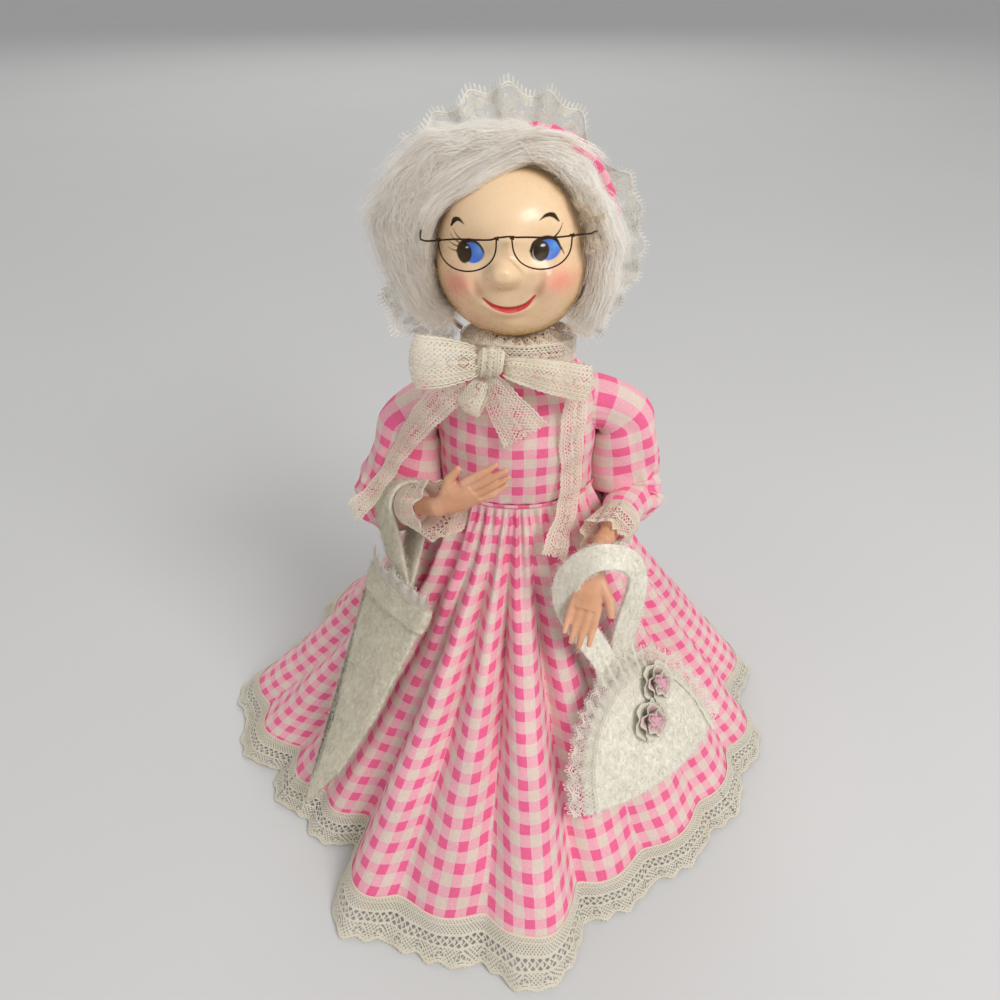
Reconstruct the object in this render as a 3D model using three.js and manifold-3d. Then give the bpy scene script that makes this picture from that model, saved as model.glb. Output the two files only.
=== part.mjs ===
// Bottle doll: a grandmother doll in a gingham dress that stands over a bottle.
// Millimetres, +Z up, the doll faces -Y and its left hand is on +X.
// The origin is the middle of the bottle's base.
import * as THREE from 'three';
import { mergeVertices } from 'three/addons/utils/BufferGeometryUtils.js';
import Module from 'manifold-3d';

const wasm = await Module();
wasm.setup();

// Fits and sheet thicknesses
const GAP = 0.3;
const CLOTH = 1.2;
const LACE = 0.9;
const FELT = 2.2;

// Bottle and cap
const BOTTLE_RADIUS = 38;
const BOTTLE_WALL_TOP = 165;
const BOTTLE_NECK_START = 222;
const BOTTLE_NECK_RADIUS = 12.5;
const BOTTLE_HEIGHT = 286;
const BOTTLE_WALL = 3;
const BOTTLE_FLOOR = 5;
const BOTTLE_EDGE = 3;
const CAP_WALL = 1.6;
const CAP_TOP = 3;
const CAP_DEPTH = 18;

// Body of the doll
const WAIST_Z = 208;
const WAIST_HALF_WIDTH = 46;
const WAIST_HALF_DEPTH = 37;
const CHEST_RISE = 42;
const CHEST_HALF_WIDTH = 47;
const CHEST_HALF_DEPTH = 38;
const SHOULDER_RISE = 62;
const SHOULDER_HALF_WIDTH = 45;
const SHOULDER_HALF_DEPTH = 32;
const NECK_RADIUS = 18;
const FORM_WALL = 2.5;
const FORM_PLATE = 4;
const POST_RADIUS = 7;
const POST_LENGTH = 36;

// Skirt: radius of the hem, and how far its folds stand out of it by azimuth in degrees,
// 0 in front and positive towards +X
const HEM_RADIUS = 190;
const HEM_FOLDS = [
  [-92, 22], [-76, 13], [-62, -4], [-48, -14], [-41, -18], [-32, 13], [-20, 9], [-8, 8],
  [6, 16], [20, -12], [42, -17], [60, -13], [77, -6], [90, -9], [105, 5], [125, -10],
  [145, 7], [165, -9], [185, 8], [205, -8], [225, 9], [246, -2],
];
const SKIRT_FLARE = 0.3;
// Deep folds: azimuth at the hem, depth, half width in degrees and share of the depth left at the hem
const DEEP_FOLDS = [
  [-155, 14, 6, 0.8], [-135, 11, 6, 0.8], [-114, 13, 5.5, 0.8], [-101, 16, 5, 0.8], [-84, 14, 5, 0.8],
  [-69, 20, 4.5, 0.9], [-54, 10, 4.5, 0.8], [-40, 16, 4, 0.9], [-24, 16, 4, 0.35], [-6, 20, 3.6, 0.25],
  [13, 22, 4, 0.8], [30, 8, 5, 0.6], [50, 8, 5, 0.6], [68, 12, 5, 0.8], [88, 14, 5.5, 0.8],
  [107, 12, 6, 0.8], [125, 14, 6, 0.8], [145, 11, 6, 0.8], [165, 14, 6, 0.8], [185, 11, 6, 0.8],
];
// How far the folds lean towards the front at the waist, by azimuth at the hem
const FOLD_LEAN = [
  [-150, 0], [-110, 4], [-69, 9], [-40, 9], [-24, 6], [-6, 1], [13, -3], [30, -4], [56, -6], [98, -4], [150, 0],
];
const HEM_LACE_WIDTH = 24;
const HEM_CLEARANCE = 0.8;

// Head, measured from the middle of the face
const HEAD_X = -3.5;
const HEAD_Y = -2;
const HEAD_RISE = 53.4;
const HEAD_TILT = 10;
const HEAD_YAW = -5;
const HEAD_ROLL = -3.5;
const FACE_HALF_WIDTH = 38;
const FACE_HALF_HEIGHT = 41;
const FACE_DEPTH = 40;
const FACE_WALL = 1.6;
const FACE_SPAN = 80;
const JAW_FULLNESS = 0.32;
const CHIN_DROP = 0.12;
const NOSE_HEIGHT = 9;
const HEAD_FORM_DEPTH = 31;
const WIG_OUTLINE = [
  [-46, 58], [-10, 58], [25, 52], [57, 51], [100, 60], [135, 65], [166, 67], [200, 65], [220, 60],
];
const WIG_FRONT = 22;
const WIG_BACK = 7;
const BONNET_RADIUS = 50;
const BONNET_DEPTH = 52;
const BONNET_DROP = 3;
const NAPE_BACK = 14;
const NAPE_LIFT = 10;
// Width of the bonnet's lace by angle round the face, from +X towards +Z
const BONNET_LACE = [[-54, 15], [0, 20], [40, 22], [75, 29], [110, 30], [140, 28], [175, 19], [234, 14]];
const BONNET_START = -54;
const BONNET_END = 234;
const GLASSES_WIRE = 0.7;
const GLASSES_SPAN = 37;
const TEMPLE_SPREAD = 5;
const LENS_WIDTH = 27;
const LENS_HEIGHT = 14;
const LENS_PITCH = 34;
const GLASSES_Z = 8;

// Arms: offsets from the shoulder to the elbow and from the elbow to the wrist
const SHOULDER_PIVOT_RISE = 49;
const ARM_BEND = 19;
const SLEEVE_CAP_RADIUS = 15.5;
const SLEEVE_RADIUS = 13.2;
const ELBOW_RADIUS = 11.6;
const SLEEVE_END_RADIUS = 11;
const CUFF_LENGTH = 25;
const WIRE_RADIUS = 1.5;
const WIRE_CLEARANCE = 0.4;
const PEG_LENGTH = 11;
const EYE_RADIUS = 4.6;
const EYE_HEIGHT = 5;
const ELBOW_RANGE = 30;
const HAND_LENGTH = 45;
const PALM_WIDTH = 19;
const WRIST_RADIUS = 5.4;
const WRIST_STUB = 20;
const HAND_BORE = 8;
const ARMS = [
  {
    name: 'right', side: -1, elbow: [-39, 0, -72], wrist: [43, -55, 36], cuffFlare: 19, bareWrist: 3,
    fingers: [0.82, -0.16, 0.55], thumb: [-0.5, -0.1, 0.8],
  },
  {
    name: 'left', side: 1, elbow: [29, 2, -66], wrist: [-30, -66, 14], cuffFlare: 13.5, bareWrist: 18,
    fingers: [-0.25, -0.45, -0.857], thumb: [0.95, -0.15, -0.2],
  },
];

// Ribbon at the neck, tied in a bow under the chin
const RIBBON_WIDTH = 16;
const BAND_HEIGHT = 13;
const BAND_HALF_WIDTH = 31;
const BAND_FRONT = 36;
const BAND_BACK = 25;
const BAND_RISE = 9;
const KNOT_X = -15;
const KNOT_HALF = [7, 5.5, 7];
const LOOP_RIGHT = { length: 31, depth: 12, towards: [-0.99, -0.13, 0.02], rise: 0.5 };
const LOOP_LEFT = { length: 44, depth: 8, towards: [0.98, -0.02, -0.2], rise: -1.5 };
const TAIL_LENGTH = 36;
const TAIL_SPREAD = 27;

// Handbag on the skirt, with its place by azimuth and height
const BAG_AZIMUTH = 38;
const BAG_BASE_Z = 58;
const BAG_WIDTH = 104;
const BAG_HEIGHT = 72;
const BAG_THICKNESS = 9;
const BAG_EDGE = 3;
const BAG_CLEARANCE = 6;
const BAG_LACE_WIDTH = 12;
const BAG_STRAP_WIDTH = 14;
const STRAP_ROUTE = [
  [21, -6, -27], [14, -10, -8], [-2, -13, -2], [-16, -11, -9], [-25, -11, -25], [-18, -13, -45],
];
const STRAP_ENDS = [6, -17];
const ROSETTES = [
  { name: 'upper', u: 15.6, v: 57 },
  { name: 'lower', u: 0, v: 40 },
];
const ROSETTE_RADIUS = 10;
const ROSETTE_THICKNESS = 5;

// Closed parasol, from its top to its tip along the skirt
const PARASOL_TOP_Z = 150;
const PARASOL_TIP_Z = 28;
const PARASOL_TOP_AZIMUTH = -57;
const PARASOL_TIP_AZIMUTH = -47;
const PARASOL_WIDTH = 60;
const PARASOL_THICKNESS = 12;
const PARASOL_CLEARANCE = 4;
const PARASOL_BAND = 0.1;
const PARASOL_FOLD = 1.5;
const PARASOL_LACE_WIDTH = 8;
const PARASOL_STRAP_WIDTH = 14;
const PARASOL_STRAP_AT = 37;

// Small tools for shapes
const vec = (x, y, z) => new THREE.Vector3(x, y, z);
const radians = THREE.MathUtils.degToRad;
const lerp = THREE.MathUtils.lerp;
const bump = (distance, spread) => Math.exp(-((distance / spread) ** 2));

// Gives a geometry with shared vertices and outward faces from points and triangles.
function closedGeometry(points, triangles) {
  const raw = new THREE.BufferGeometry();
  raw.setAttribute('position', new THREE.Float32BufferAttribute(points.flatMap((p) => [p.x, p.y, p.z]), 3));
  raw.setIndex(triangles.flat());
  return outward(mergeVertices(raw, 1e-4));
}

// Drops collapsed triangles and turns the faces out if the volume is negative.
function outward(geometry) {
  const position = geometry.getAttribute('position');
  const index = geometry.getIndex().array;
  const corner = (i) => new THREE.Vector3().fromBufferAttribute(position, i);
  const kept = [];
  let volume = 0;
  for (let i = 0; i < index.length; i += 3) {
    const [a, b, c] = [index[i], index[i + 1], index[i + 2]];
    if (a !== b && b !== c && c !== a) {
      kept.push(a, b, c);
      volume += corner(a).dot(corner(b).cross(corner(c)));
    }
  }
  geometry.setIndex(volume < 0 ? kept.reverse() : kept);
  return geometry;
}

// Merges any geometry's vertices, so that only positions are left.
function bare(geometry) {
  const copy = geometry.clone();
  copy.deleteAttribute('normal');
  copy.deleteAttribute('uv');
  const indexed = mergeVertices(copy, 1e-4);
  return outward(indexed);
}

function toSolid(geometry) {
  const merged = bare(geometry);
  return new wasm.Manifold(new wasm.Mesh({
    numProp: 3,
    vertProperties: new Float32Array(merged.getAttribute('position').array),
    triVerts: new Uint32Array(merged.getIndex().array),
  }));
}

function fromSolid(solid) {
  const mesh = solid.getMesh();
  const geometry = new THREE.BufferGeometry();
  geometry.setAttribute('position', new THREE.Float32BufferAttribute(mesh.vertProperties, 3));
  geometry.setIndex(Array.from(mesh.triVerts));
  return geometry;
}

function cut(geometry, cutters) {
  const result = cutters.reduce((solid, cutter) => solid.subtract(toSolid(cutter)), toSolid(geometry));
  return fromSolid(result);
}

function join(geometries) {
  const [first, ...rest] = geometries.map(toSolid);
  return fromSolid(rest.reduce((solid, other) => solid.add(other), first));
}

// Closed wall between two surfaces over s (rows) and t (columns); wrap joins t = 1 to t = 0.
function wall({ rows, columns, wrap, outer, inner }) {
  const across = wrap ? columns : columns + 1;
  const points = [];
  for (const surface of [outer, inner]) {
    for (let i = 0; i <= rows; i += 1) {
      for (let j = 0; j < across; j += 1) points.push(surface(i / rows, j / columns));
    }
  }
  const half = (rows + 1) * across;
  const at = (layer, i, j) => layer * half + i * across + (j % across);
  const triangles = [];
  const quad = (a, b, c, d) => triangles.push([a, b, c], [a, c, d]);
  for (let j = 0; j < columns; j += 1) {
    for (let i = 0; i < rows; i += 1) {
      quad(at(0, i, j), at(0, i, j + 1), at(0, i + 1, j + 1), at(0, i + 1, j));
      quad(at(1, i, j), at(1, i + 1, j), at(1, i + 1, j + 1), at(1, i, j + 1));
    }
    quad(at(0, 0, j), at(1, 0, j), at(1, 0, j + 1), at(0, 0, j + 1));
    quad(at(0, rows, j), at(0, rows, j + 1), at(1, rows, j + 1), at(1, rows, j));
  }
  if (!wrap) {
    for (let i = 0; i < rows; i += 1) {
      quad(at(0, i, 0), at(0, i + 1, 0), at(1, i + 1, 0), at(1, i, 0));
      quad(at(0, i, columns), at(1, i, columns), at(1, i + 1, columns), at(0, i + 1, columns));
    }
  }
  return closedGeometry(points, triangles);
}

// Solid through a row of closed rings, capped at both ends.
function loft(rings) {
  const sides = rings[0].length;
  const points = rings.flat();
  const triangles = [];
  for (let i = 0; i + 1 < rings.length; i += 1) {
    for (let j = 0; j < sides; j += 1) {
      const next = (j + 1) % sides;
      const [a, b, c, d] = [i * sides + j, i * sides + next, (i + 1) * sides + next, (i + 1) * sides + j];
      triangles.push([a, b, c], [a, c, d]);
    }
  }
  for (const end of [0, rings.length - 1]) {
    const middle = points.length;
    points.push(rings[end].reduce((sum, p) => sum.add(p), vec(0, 0, 0)).divideScalar(sides));
    for (let j = 0; j < sides; j += 1) {
      const [a, b] = [end * sides + j, end * sides + ((j + 1) % sides)];
      triangles.push(end === 0 ? [middle, b, a] : [middle, a, b]);
    }
  }
  return closedGeometry(points, triangles);
}

// Ellipse of points in the plane of two directions.
function ring(centre, first, second, halfFirst, halfSecond, sides) {
  return Array.from({ length: sides }, (_, j) => {
    const angle = (2 * Math.PI * j) / sides;
    return centre.clone()
      .addScaledVector(first, halfFirst * Math.cos(angle))
      .addScaledVector(second, halfSecond * Math.sin(angle));
  });
}

// Round wire along a smooth path.
function wire(points, radius, steps, sides = 6) {
  const section = new THREE.Shape(ring(vec(0, 0, 0), vec(1, 0, 0), vec(0, 1, 0), radius, radius, sides));
  const extrudePath = new THREE.CatmullRomCurve3(points, false, 'centripetal');
  return bare(new THREE.ExtrudeGeometry(section, { steps, bevelEnabled: false, extrudePath }));
}

// Cylinder between two points.
function rod(from, to, radius, sides = 16) {
  const length = from.distanceTo(to);
  const geometry = new THREE.CylinderGeometry(radius, radius, length, sides);
  geometry.translate(0, length / 2, 0);
  const direction = to.clone().sub(from).normalize();
  geometry.applyQuaternion(new THREE.Quaternion().setFromUnitVectors(vec(0, 1, 0), direction));
  return bare(geometry.translate(from.x, from.y, from.z));
}

function ball(centre, radius, sides = 20) {
  const geometry = new THREE.SphereGeometry(radius, sides, Math.round(sides * 0.6));
  return bare(geometry.translate(centre.x, centre.y, centre.z));
}

// Lathe about +Z from [radius, z] pairs.
function turned(profile, sides) {
  const outline = profile.map(([r, z]) => new THREE.Vector2(r, z));
  return bare(new THREE.LatheGeometry(outline, sides).rotateX(Math.PI / 2));
}

// Ribbon of a width and thickness along a path; facing gives its outward direction at each point.
function ribbon(points, facing, width, thickness, steps) {
  const path = new THREE.CatmullRomCurve3(points, false, 'centripetal');
  const rings = Array.from({ length: steps + 1 }, (_, i) => {
    const u = i / steps;
    const centre = path.getPoint(u);
    const along = path.getTangent(u);
    const across = along.clone().cross(facing(centre, u)).normalize();
    const out = across.clone().cross(along).normalize();
    const half = across.multiplyScalar(typeof width === 'function' ? width(u) / 2 : width / 2);
    const rise = out.multiplyScalar(thickness / 2);
    return [[-1, -1], [1, -1], [1, 1], [-1, 1]].map(([a, b]) => (
      centre.clone().addScaledVector(half, a).addScaledVector(rise, b)));
  });
  return loft(rings);
}

// Smooth value from a list of [angle, value] pairs; period closes the list.
function smoothTable(pairs, angle, period) {
  const count = pairs.length;
  const turn = period ? THREE.MathUtils.euclideanModulo(angle - pairs[0][0], period) + pairs[0][0] : angle;
  let i = pairs.findIndex(([a]) => a > turn) - 1;
  if (i < -1) i = count - 1;
  if (!period) i = THREE.MathUtils.clamp(i, 0, count - 2);
  const pick = (k) => {
    if (!period) return pairs[THREE.MathUtils.clamp(k, 0, count - 1)];
    const lap = Math.floor(k / count);
    const [a, value] = pairs[THREE.MathUtils.euclideanModulo(k, count)];
    return [a + lap * period, value];
  };
  const [[a0, v0], [a1, v1], [a2, v2], [a3, v3]] = [pick(i - 1), pick(i), pick(i + 1), pick(i + 2)];
  const u = (turn - a1) / (a2 - a1);
  const slopeIn = ((v2 - v0) / (a2 - a0 || 1)) * (a2 - a1);
  const slopeOut = ((v3 - v1) / (a3 - a1 || 1)) * (a2 - a1);
  const [u2, u3] = [u * u, u * u * u];
  const ends = v1 * (2 * u3 - 3 * u2 + 1) + v2 * (3 * u2 - 2 * u3);
  return ends + slopeIn * (u3 - 2 * u2 + u) + slopeOut * (u3 - u2);
}

// Radius of the hem by azimuth
const HEM_OUTLINE = HEM_FOLDS.map(([azimuth, fold]) => [azimuth, HEM_RADIUS + fold]);

// Heights stacked up from the bottle: cap, plate of the body form and head
const CAP_UNDER = BOTTLE_HEIGHT + GAP;
const CAP_TOP_Z = CAP_UNDER + CAP_TOP;
const PLATE_UNDER = CAP_TOP_Z + GAP;
const PLATE_TOP = PLATE_UNDER + FORM_PLATE;
const HEAD_Z = PLATE_TOP + HEAD_RISE;

// Materials and the scene graph
const finish = (color, roughness, metalness = 0) => (
  new THREE.MeshStandardMaterial({ color, roughness, metalness }));
const doll = new THREE.Group();
const head = new THREE.Group();
head.position.set(HEAD_X, HEAD_Y, HEAD_Z);
head.rotation.set(radians(-HEAD_TILT), radians(HEAD_ROLL), radians(HEAD_YAW), 'ZYX');
head.updateMatrix();
doll.add(head);

function add(parent, name, geometry, material) {
  const mesh = new THREE.Mesh(geometry, material);
  mesh.name = name;
  parent.add(mesh);
  return mesh;
}

const GINGHAM_COLOUR = 0xf09ab4;
const LACE_COLOUR = 0xede3cc;
const FELT_COLOUR = 0xe0dcc8;
const SKIN_COLOUR = 0xc98f5f;
const WIRE_COLOUR = 0x6b6660;

// Bottle with an open neck, and its cap
function bottleGeometry() {
  const steps = 5;
  const shoulder = (inset) => Array.from({ length: steps + 1 }, (_, i) => {
    const blend = 0.5 + 0.5 * Math.cos((Math.PI * i) / steps);
    return [
      lerp(BOTTLE_NECK_RADIUS, BOTTLE_RADIUS, blend) - inset,
      lerp(BOTTLE_WALL_TOP, BOTTLE_NECK_START, i / steps),
    ];
  });
  const outside = [
    [0, 0], [BOTTLE_RADIUS - BOTTLE_EDGE, 0], [BOTTLE_RADIUS, BOTTLE_EDGE],
    ...shoulder(0), [BOTTLE_NECK_RADIUS, BOTTLE_HEIGHT],
  ];
  const inside = [
    [BOTTLE_NECK_RADIUS - BOTTLE_WALL, BOTTLE_HEIGHT], ...shoulder(BOTTLE_WALL).reverse(),
    [BOTTLE_RADIUS - BOTTLE_WALL, BOTTLE_FLOOR + BOTTLE_EDGE],
    [BOTTLE_RADIUS - BOTTLE_WALL - BOTTLE_EDGE, BOTTLE_FLOOR], [0, BOTTLE_FLOOR],
  ];
  return turned([...outside, ...inside], 24);
}

function capGeometry() {
  const bore = BOTTLE_NECK_RADIUS + GAP;
  const rim = CAP_UNDER - CAP_DEPTH;
  return turned([
    [0, CAP_TOP_Z], [0, CAP_UNDER], [bore, CAP_UNDER], [bore, rim], [bore + CAP_WALL, rim],
    [bore + CAP_WALL, CAP_TOP_Z - 1], [bore + CAP_WALL - 1, CAP_TOP_Z], [0, CAP_TOP_Z],
  ], 24);
}

add(doll, 'bottle', bottleGeometry(), finish(0x6f8f6a, 0.1));
add(doll, 'bottle_cap', capGeometry(), finish(0x2b2b2b, 0.5));

// Body form on the cap and the bodice over it
const CHEST_Z = WAIST_Z + CHEST_RISE;
const SHOULDER_Z = WAIST_Z + SHOULDER_RISE;

// Outside of the bodice by height share: x is half width, y is half depth and z is height.
const bodyCurve = new THREE.CatmullRomCurve3([
  vec(WAIST_HALF_WIDTH, WAIST_HALF_DEPTH, WAIST_Z),
  vec(lerp(WAIST_HALF_WIDTH, CHEST_HALF_WIDTH, 0.5), lerp(WAIST_HALF_DEPTH, CHEST_HALF_DEPTH, 0.6),
    lerp(WAIST_Z, CHEST_Z, 0.48)),
  vec(CHEST_HALF_WIDTH, CHEST_HALF_DEPTH, CHEST_Z),
  vec(SHOULDER_HALF_WIDTH, SHOULDER_HALF_DEPTH, SHOULDER_Z),
  vec(lerp(NECK_RADIUS, SHOULDER_HALF_WIDTH, 0.52), lerp(NECK_RADIUS, SHOULDER_HALF_DEPTH, 0.5),
    lerp(SHOULDER_Z, PLATE_TOP, 0.55)),
  vec(NECK_RADIUS, NECK_RADIUS, PLATE_TOP),
], false, 'centripetal');

// Point on the body, an inset inside the bodice's outer face.
function bodyPoint(share, turn, inset, lift = 0) {
  const section = bodyCurve.getPoint(share);
  const slope = bodyCurve.getTangent(share);
  const outwardRun = Math.max(0.35, Math.abs(slope.z));
  const angle = 2 * Math.PI * turn;
  return vec(
    (section.x - inset * outwardRun) * Math.sin(angle),
    -(section.y - inset * outwardRun) * Math.cos(angle),
    section.z + lift - inset * Math.sqrt(1 - Math.min(1, slope.z ** 2)),
  );
}

// Rows of the bodice; the form under it has the same facets, and two more rows for its plate.
const BODY_ROWS = 8;
const BODY_COLUMNS = 28;

function formGeometry() {
  const rows = BODY_ROWS + 2;
  const skin = CLOTH + GAP;
  const rowOf = (s) => Math.round(s * rows);
  const throat = BOTTLE_NECK_RADIUS + GAP + CAP_WALL + 2 * GAP;
  const outer = (s, t) => {
    const row = rowOf(s);
    if (row <= BODY_ROWS) return bodyPoint(row / BODY_ROWS, t, skin);
    const rim = row === rows ? 0 : (NECK_RADIUS - skin) * 0.9;
    return vec(rim * Math.sin(2 * Math.PI * t), -rim * Math.cos(2 * Math.PI * t), PLATE_TOP);
  };
  const inner = (s, t) => {
    const row = rowOf(s);
    const p = bodyPoint(Math.min(1, row / BODY_ROWS), t, skin + FORM_WALL);
    const radius = Math.hypot(p.x, p.y);
    const open = row === rows ? 0 : Math.max(1, throat / radius);
    return vec(p.x * open, p.y * open, Math.min(p.z, PLATE_UNDER));
  };
  return wall({ rows, columns: BODY_COLUMNS, wrap: true, outer, inner });
}

const SHOULDER_PIVOT_Z = WAIST_Z + SHOULDER_PIVOT_RISE;
const SLEEVE_PLANE = CHEST_HALF_WIDTH + GAP;
const pegHole = () => rod(
  vec(-SLEEVE_PLANE - 5, 0, SHOULDER_PIVOT_Z), vec(SLEEVE_PLANE + 5, 0, SHOULDER_PIVOT_Z),
  WIRE_RADIUS + WIRE_CLEARANCE, 12,
);
const bodice = wall({
  rows: BODY_ROWS, columns: BODY_COLUMNS, wrap: true,
  outer: (s, t) => bodyPoint(s, t, 0),
  inner: (s, t) => bodyPoint(s, t, CLOTH),
});
add(doll, 'torso_form', cut(formGeometry(), [pegHole()]), finish(0xb9a88c, 0.9));
add(doll, 'bodice', cut(bodice, [pegHole()]), finish(GINGHAM_COLOUR, 0.85));
const postBase = PLATE_TOP + GAP;
const POST_TOP = postBase + POST_LENGTH;
add(doll, 'neck_post', rod(vec(0, 0, postBase), vec(0, 0, POST_TOP), POST_RADIUS), finish(0xcaa77a, 0.7));

// Skirt from the waist to the floor in its main folds; drop is 0 at the waist and 1 at the hem.
const SKIRT_TOP = WAIST_Z - GAP;

function skirtPoint(drop, azimuth, inset = 0) {
  const angle = radians(azimuth);
  const waist = vec(WAIST_HALF_WIDTH * Math.sin(angle), -WAIST_HALF_DEPTH * Math.cos(angle), SKIRT_TOP);
  const waistRadius = Math.hypot(waist.x, waist.y);
  const flare = SKIRT_FLARE * (0.5 - 0.5 * Math.sin(angle));
  const share = (1 - flare) * drop + flare * drop * drop;
  const radius = lerp(waistRadius, smoothTable(HEM_OUTLINE, azimuth, 360), share) - inset;
  return vec(radius * Math.sin(angle), -radius * Math.cos(angle), lerp(SKIRT_TOP, HEM_CLEARANCE, drop));
}

const SKIRT_SLANT = Math.hypot(SKIRT_TOP, smoothTable(HEM_OUTLINE, 0, 360) - WAIST_HALF_DEPTH);
const LACE_START = 1 - HEM_LACE_WIDTH / SKIRT_SLANT;
const SLANT_COVER = 1.3;

const smoothStep = (x) => THREE.MathUtils.smoothstep(x, 0, 1);

// Point of the folded skirt; column is the azimuth of that line of cloth at the hem.
function foldedPoint(drop, column, inset) {
  const depth = DEEP_FOLDS.reduce((sum, [at, deep, half, kept]) => {
    const away = Math.abs(THREE.MathUtils.euclideanModulo(column - at + 180, 360) - 180) / half;
    const fall = smoothStep(drop / 0.45) * (1 - (1 - kept) * smoothStep((drop - 0.5) / 0.5));
    return sum + deep * fall * Math.exp(-(away ** 1.5));
  }, 0);
  return skirtPoint(drop, column + (1 - drop) * smoothTable(FOLD_LEAN, column, 360), inset + depth);
}

// Columns of the skirt: each fold, its two shoulders and the crest after it
const FOLD_COLUMNS = DEEP_FOLDS.flatMap(([at, , half], i) => {
  const [next, , nextHalf] = DEEP_FOLDS[(i + 1) % DEEP_FOLDS.length];
  const then = next > at ? next : next + 360;
  return [at, at + 1.1 * half, (at + then) / 2, then - 1.1 * nextHalf];
});
const SKIRT_DROPS = [0, 0.1, 0.25, 0.42, 0.62, 0.82, 1];

function skirtBand(from, to, thickness, drops) {
  const rows = drops.length - 1;
  const columns = FOLD_COLUMNS.length;
  const at = (s, t, inset) => foldedPoint(
    lerp(from, to, drops[Math.round(s * rows)]), FOLD_COLUMNS[Math.round(t * columns) % columns], inset);
  return wall({
    rows, columns, wrap: true,
    outer: (s, t) => at(s, t, 0),
    inner: (s, t) => at(s, t, thickness * SLANT_COVER),
  });
}

add(doll, 'skirt', skirtBand(0, LACE_START, CLOTH, SKIRT_DROPS), finish(GINGHAM_COLOUR, 0.85));
add(doll, 'skirt_lace', skirtBand(LACE_START + GAP / SKIRT_SLANT, 1, LACE, [0, 1]), finish(LACE_COLOUR, 0.9));

// Head: ball on the dowel, mask face, wig, bonnet and spectacles in the head's own frame
const toHead = head.matrix.clone().invert();

function headFormGeometry() {
  const form = new THREE.SphereGeometry(1, 16, 10);
  const seat = FACE_WALL + GAP;
  form.scale(FACE_HALF_WIDTH - seat, HEAD_FORM_DEPTH, FACE_HALF_HEIGHT - seat);
  const socket = rod(vec(0, 0, HEAD_Z - 2 * FACE_HALF_HEIGHT), vec(0, 0, POST_TOP + GAP), POST_RADIUS + GAP);
  return cut(form, [socket.applyMatrix4(toHead)]);
}

// Mask surface over polar share s from the nose side to the rim, with the moulded features.
function facePoint(s, t, inset) {
  const polar = radians(FACE_SPAN) * s;
  const turn = 2 * Math.PI * t;
  const [sx, sz] = [Math.sin(polar) * Math.cos(turn), Math.sin(polar) * Math.sin(turn)];
  const low = Math.max(0, -sz);
  const x = (FACE_HALF_WIDTH - inset) * sx * (1 + JAW_FULLNESS * low * (1 - 0.35 * low));
  const z = (FACE_HALF_HEIGHT - inset) * sz * (1 + CHIN_DROP * low);
  const cheeks = bump(Math.hypot(Math.abs(x) - 19, z + 15), 12) * 4;
  const sockets = bump(Math.hypot((Math.abs(x) - 18) / 1.25, z - 2), 9) * 2.4;
  const nose = bump(Math.hypot(x, z + 9), 7) * NOSE_HEIGHT;
  const lips = bump(x, 13) * bump(z + 21, 3) * 1.2;
  const chin = bump(Math.hypot(x, z + 32), 9) * 2.5;
  const depth = (FACE_DEPTH - inset) * Math.cos(polar);
  return vec(x, -depth - cheeks + sockets - nose + lips - chin, z);
}

// Ring round the face: angle in degrees from +X towards +Z, radius and depth in the head's frame.
function roundFace(angle, radius, depth, drop = 0) {
  return vec(radius * Math.cos(radians(angle)), depth, radius * Math.sin(radians(angle)) - drop);
}

function wigGeometry() {
  const [start, end] = [WIG_OUTLINE[0][0], WIG_OUTLINE.at(-1)[0]];
  const stations = 26;
  const rings = Array.from({ length: stations + 1 }, (_, i) => {
    const angle = lerp(start, end, i / stations);
    const outer = smoothTable(WIG_OUTLINE, angle);
    const [c, q] = [Math.cos(radians(angle)), Math.sin(radians(angle))];
    const jaw = 1 + 0.58 * JAW_FULLNESS * Math.max(0, -q);
    const inner = jaw / Math.hypot(c / FACE_HALF_WIDTH, q / FACE_HALF_HEIGHT) + 2 * GAP;
    const taper = 1 - 0.28 * ((2 * i) / stations - 1) ** 4;
    const centre = roundFace(angle, (inner + outer) / 2, (WIG_BACK - WIG_FRONT) / 2);
    const radial = vec(c, 0, q);
    return ring(centre, radial, vec(0, 1, 0), (outer - inner) / 2, ((WIG_BACK + WIG_FRONT) / 2) * taper, 12);
  });
  return loft(rings);
}

function bonnetCrownGeometry() {
  const surface = (inset) => (s, t) => {
    const lift = (Math.PI / 2) * s;
    const nape = Math.max(0, -Math.sin(2 * Math.PI * t)) ** 3;
    const start = WIG_BACK + GAP * 2 + NAPE_BACK * nape;
    const radius = (BONNET_RADIUS - NAPE_LIFT * nape - inset) * Math.cos(lift);
    const depth = lerp(start, WIG_BACK + BONNET_DEPTH - inset, Math.sin(lift));
    return roundFace(360 * t, radius, depth, BONNET_DROP);
  };
  return wall({ rows: 6, columns: 28, wrap: true, outer: surface(0), inner: surface(CLOTH) });
}

function bonnetLaceGeometry() {
  const middle = WIG_BACK + 6;
  const ruffle = (s, t, layer) => {
    const angle = lerp(BONNET_START, BONNET_END, t);
    const wave = Math.cos(radians(angle * 10)) * 2.6 * s;
    const radius = BONNET_RADIUS + GAP + smoothTable(BONNET_LACE, angle) * s;
    return roundFace(angle, radius, middle + wave + layer, BONNET_DROP);
  };
  return wall({
    rows: 1, columns: 60, wrap: false,
    outer: (s, t) => ruffle(s, t, -LACE / 2),
    inner: (s, t) => ruffle(s, t, LACE / 2),
  });
}

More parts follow.
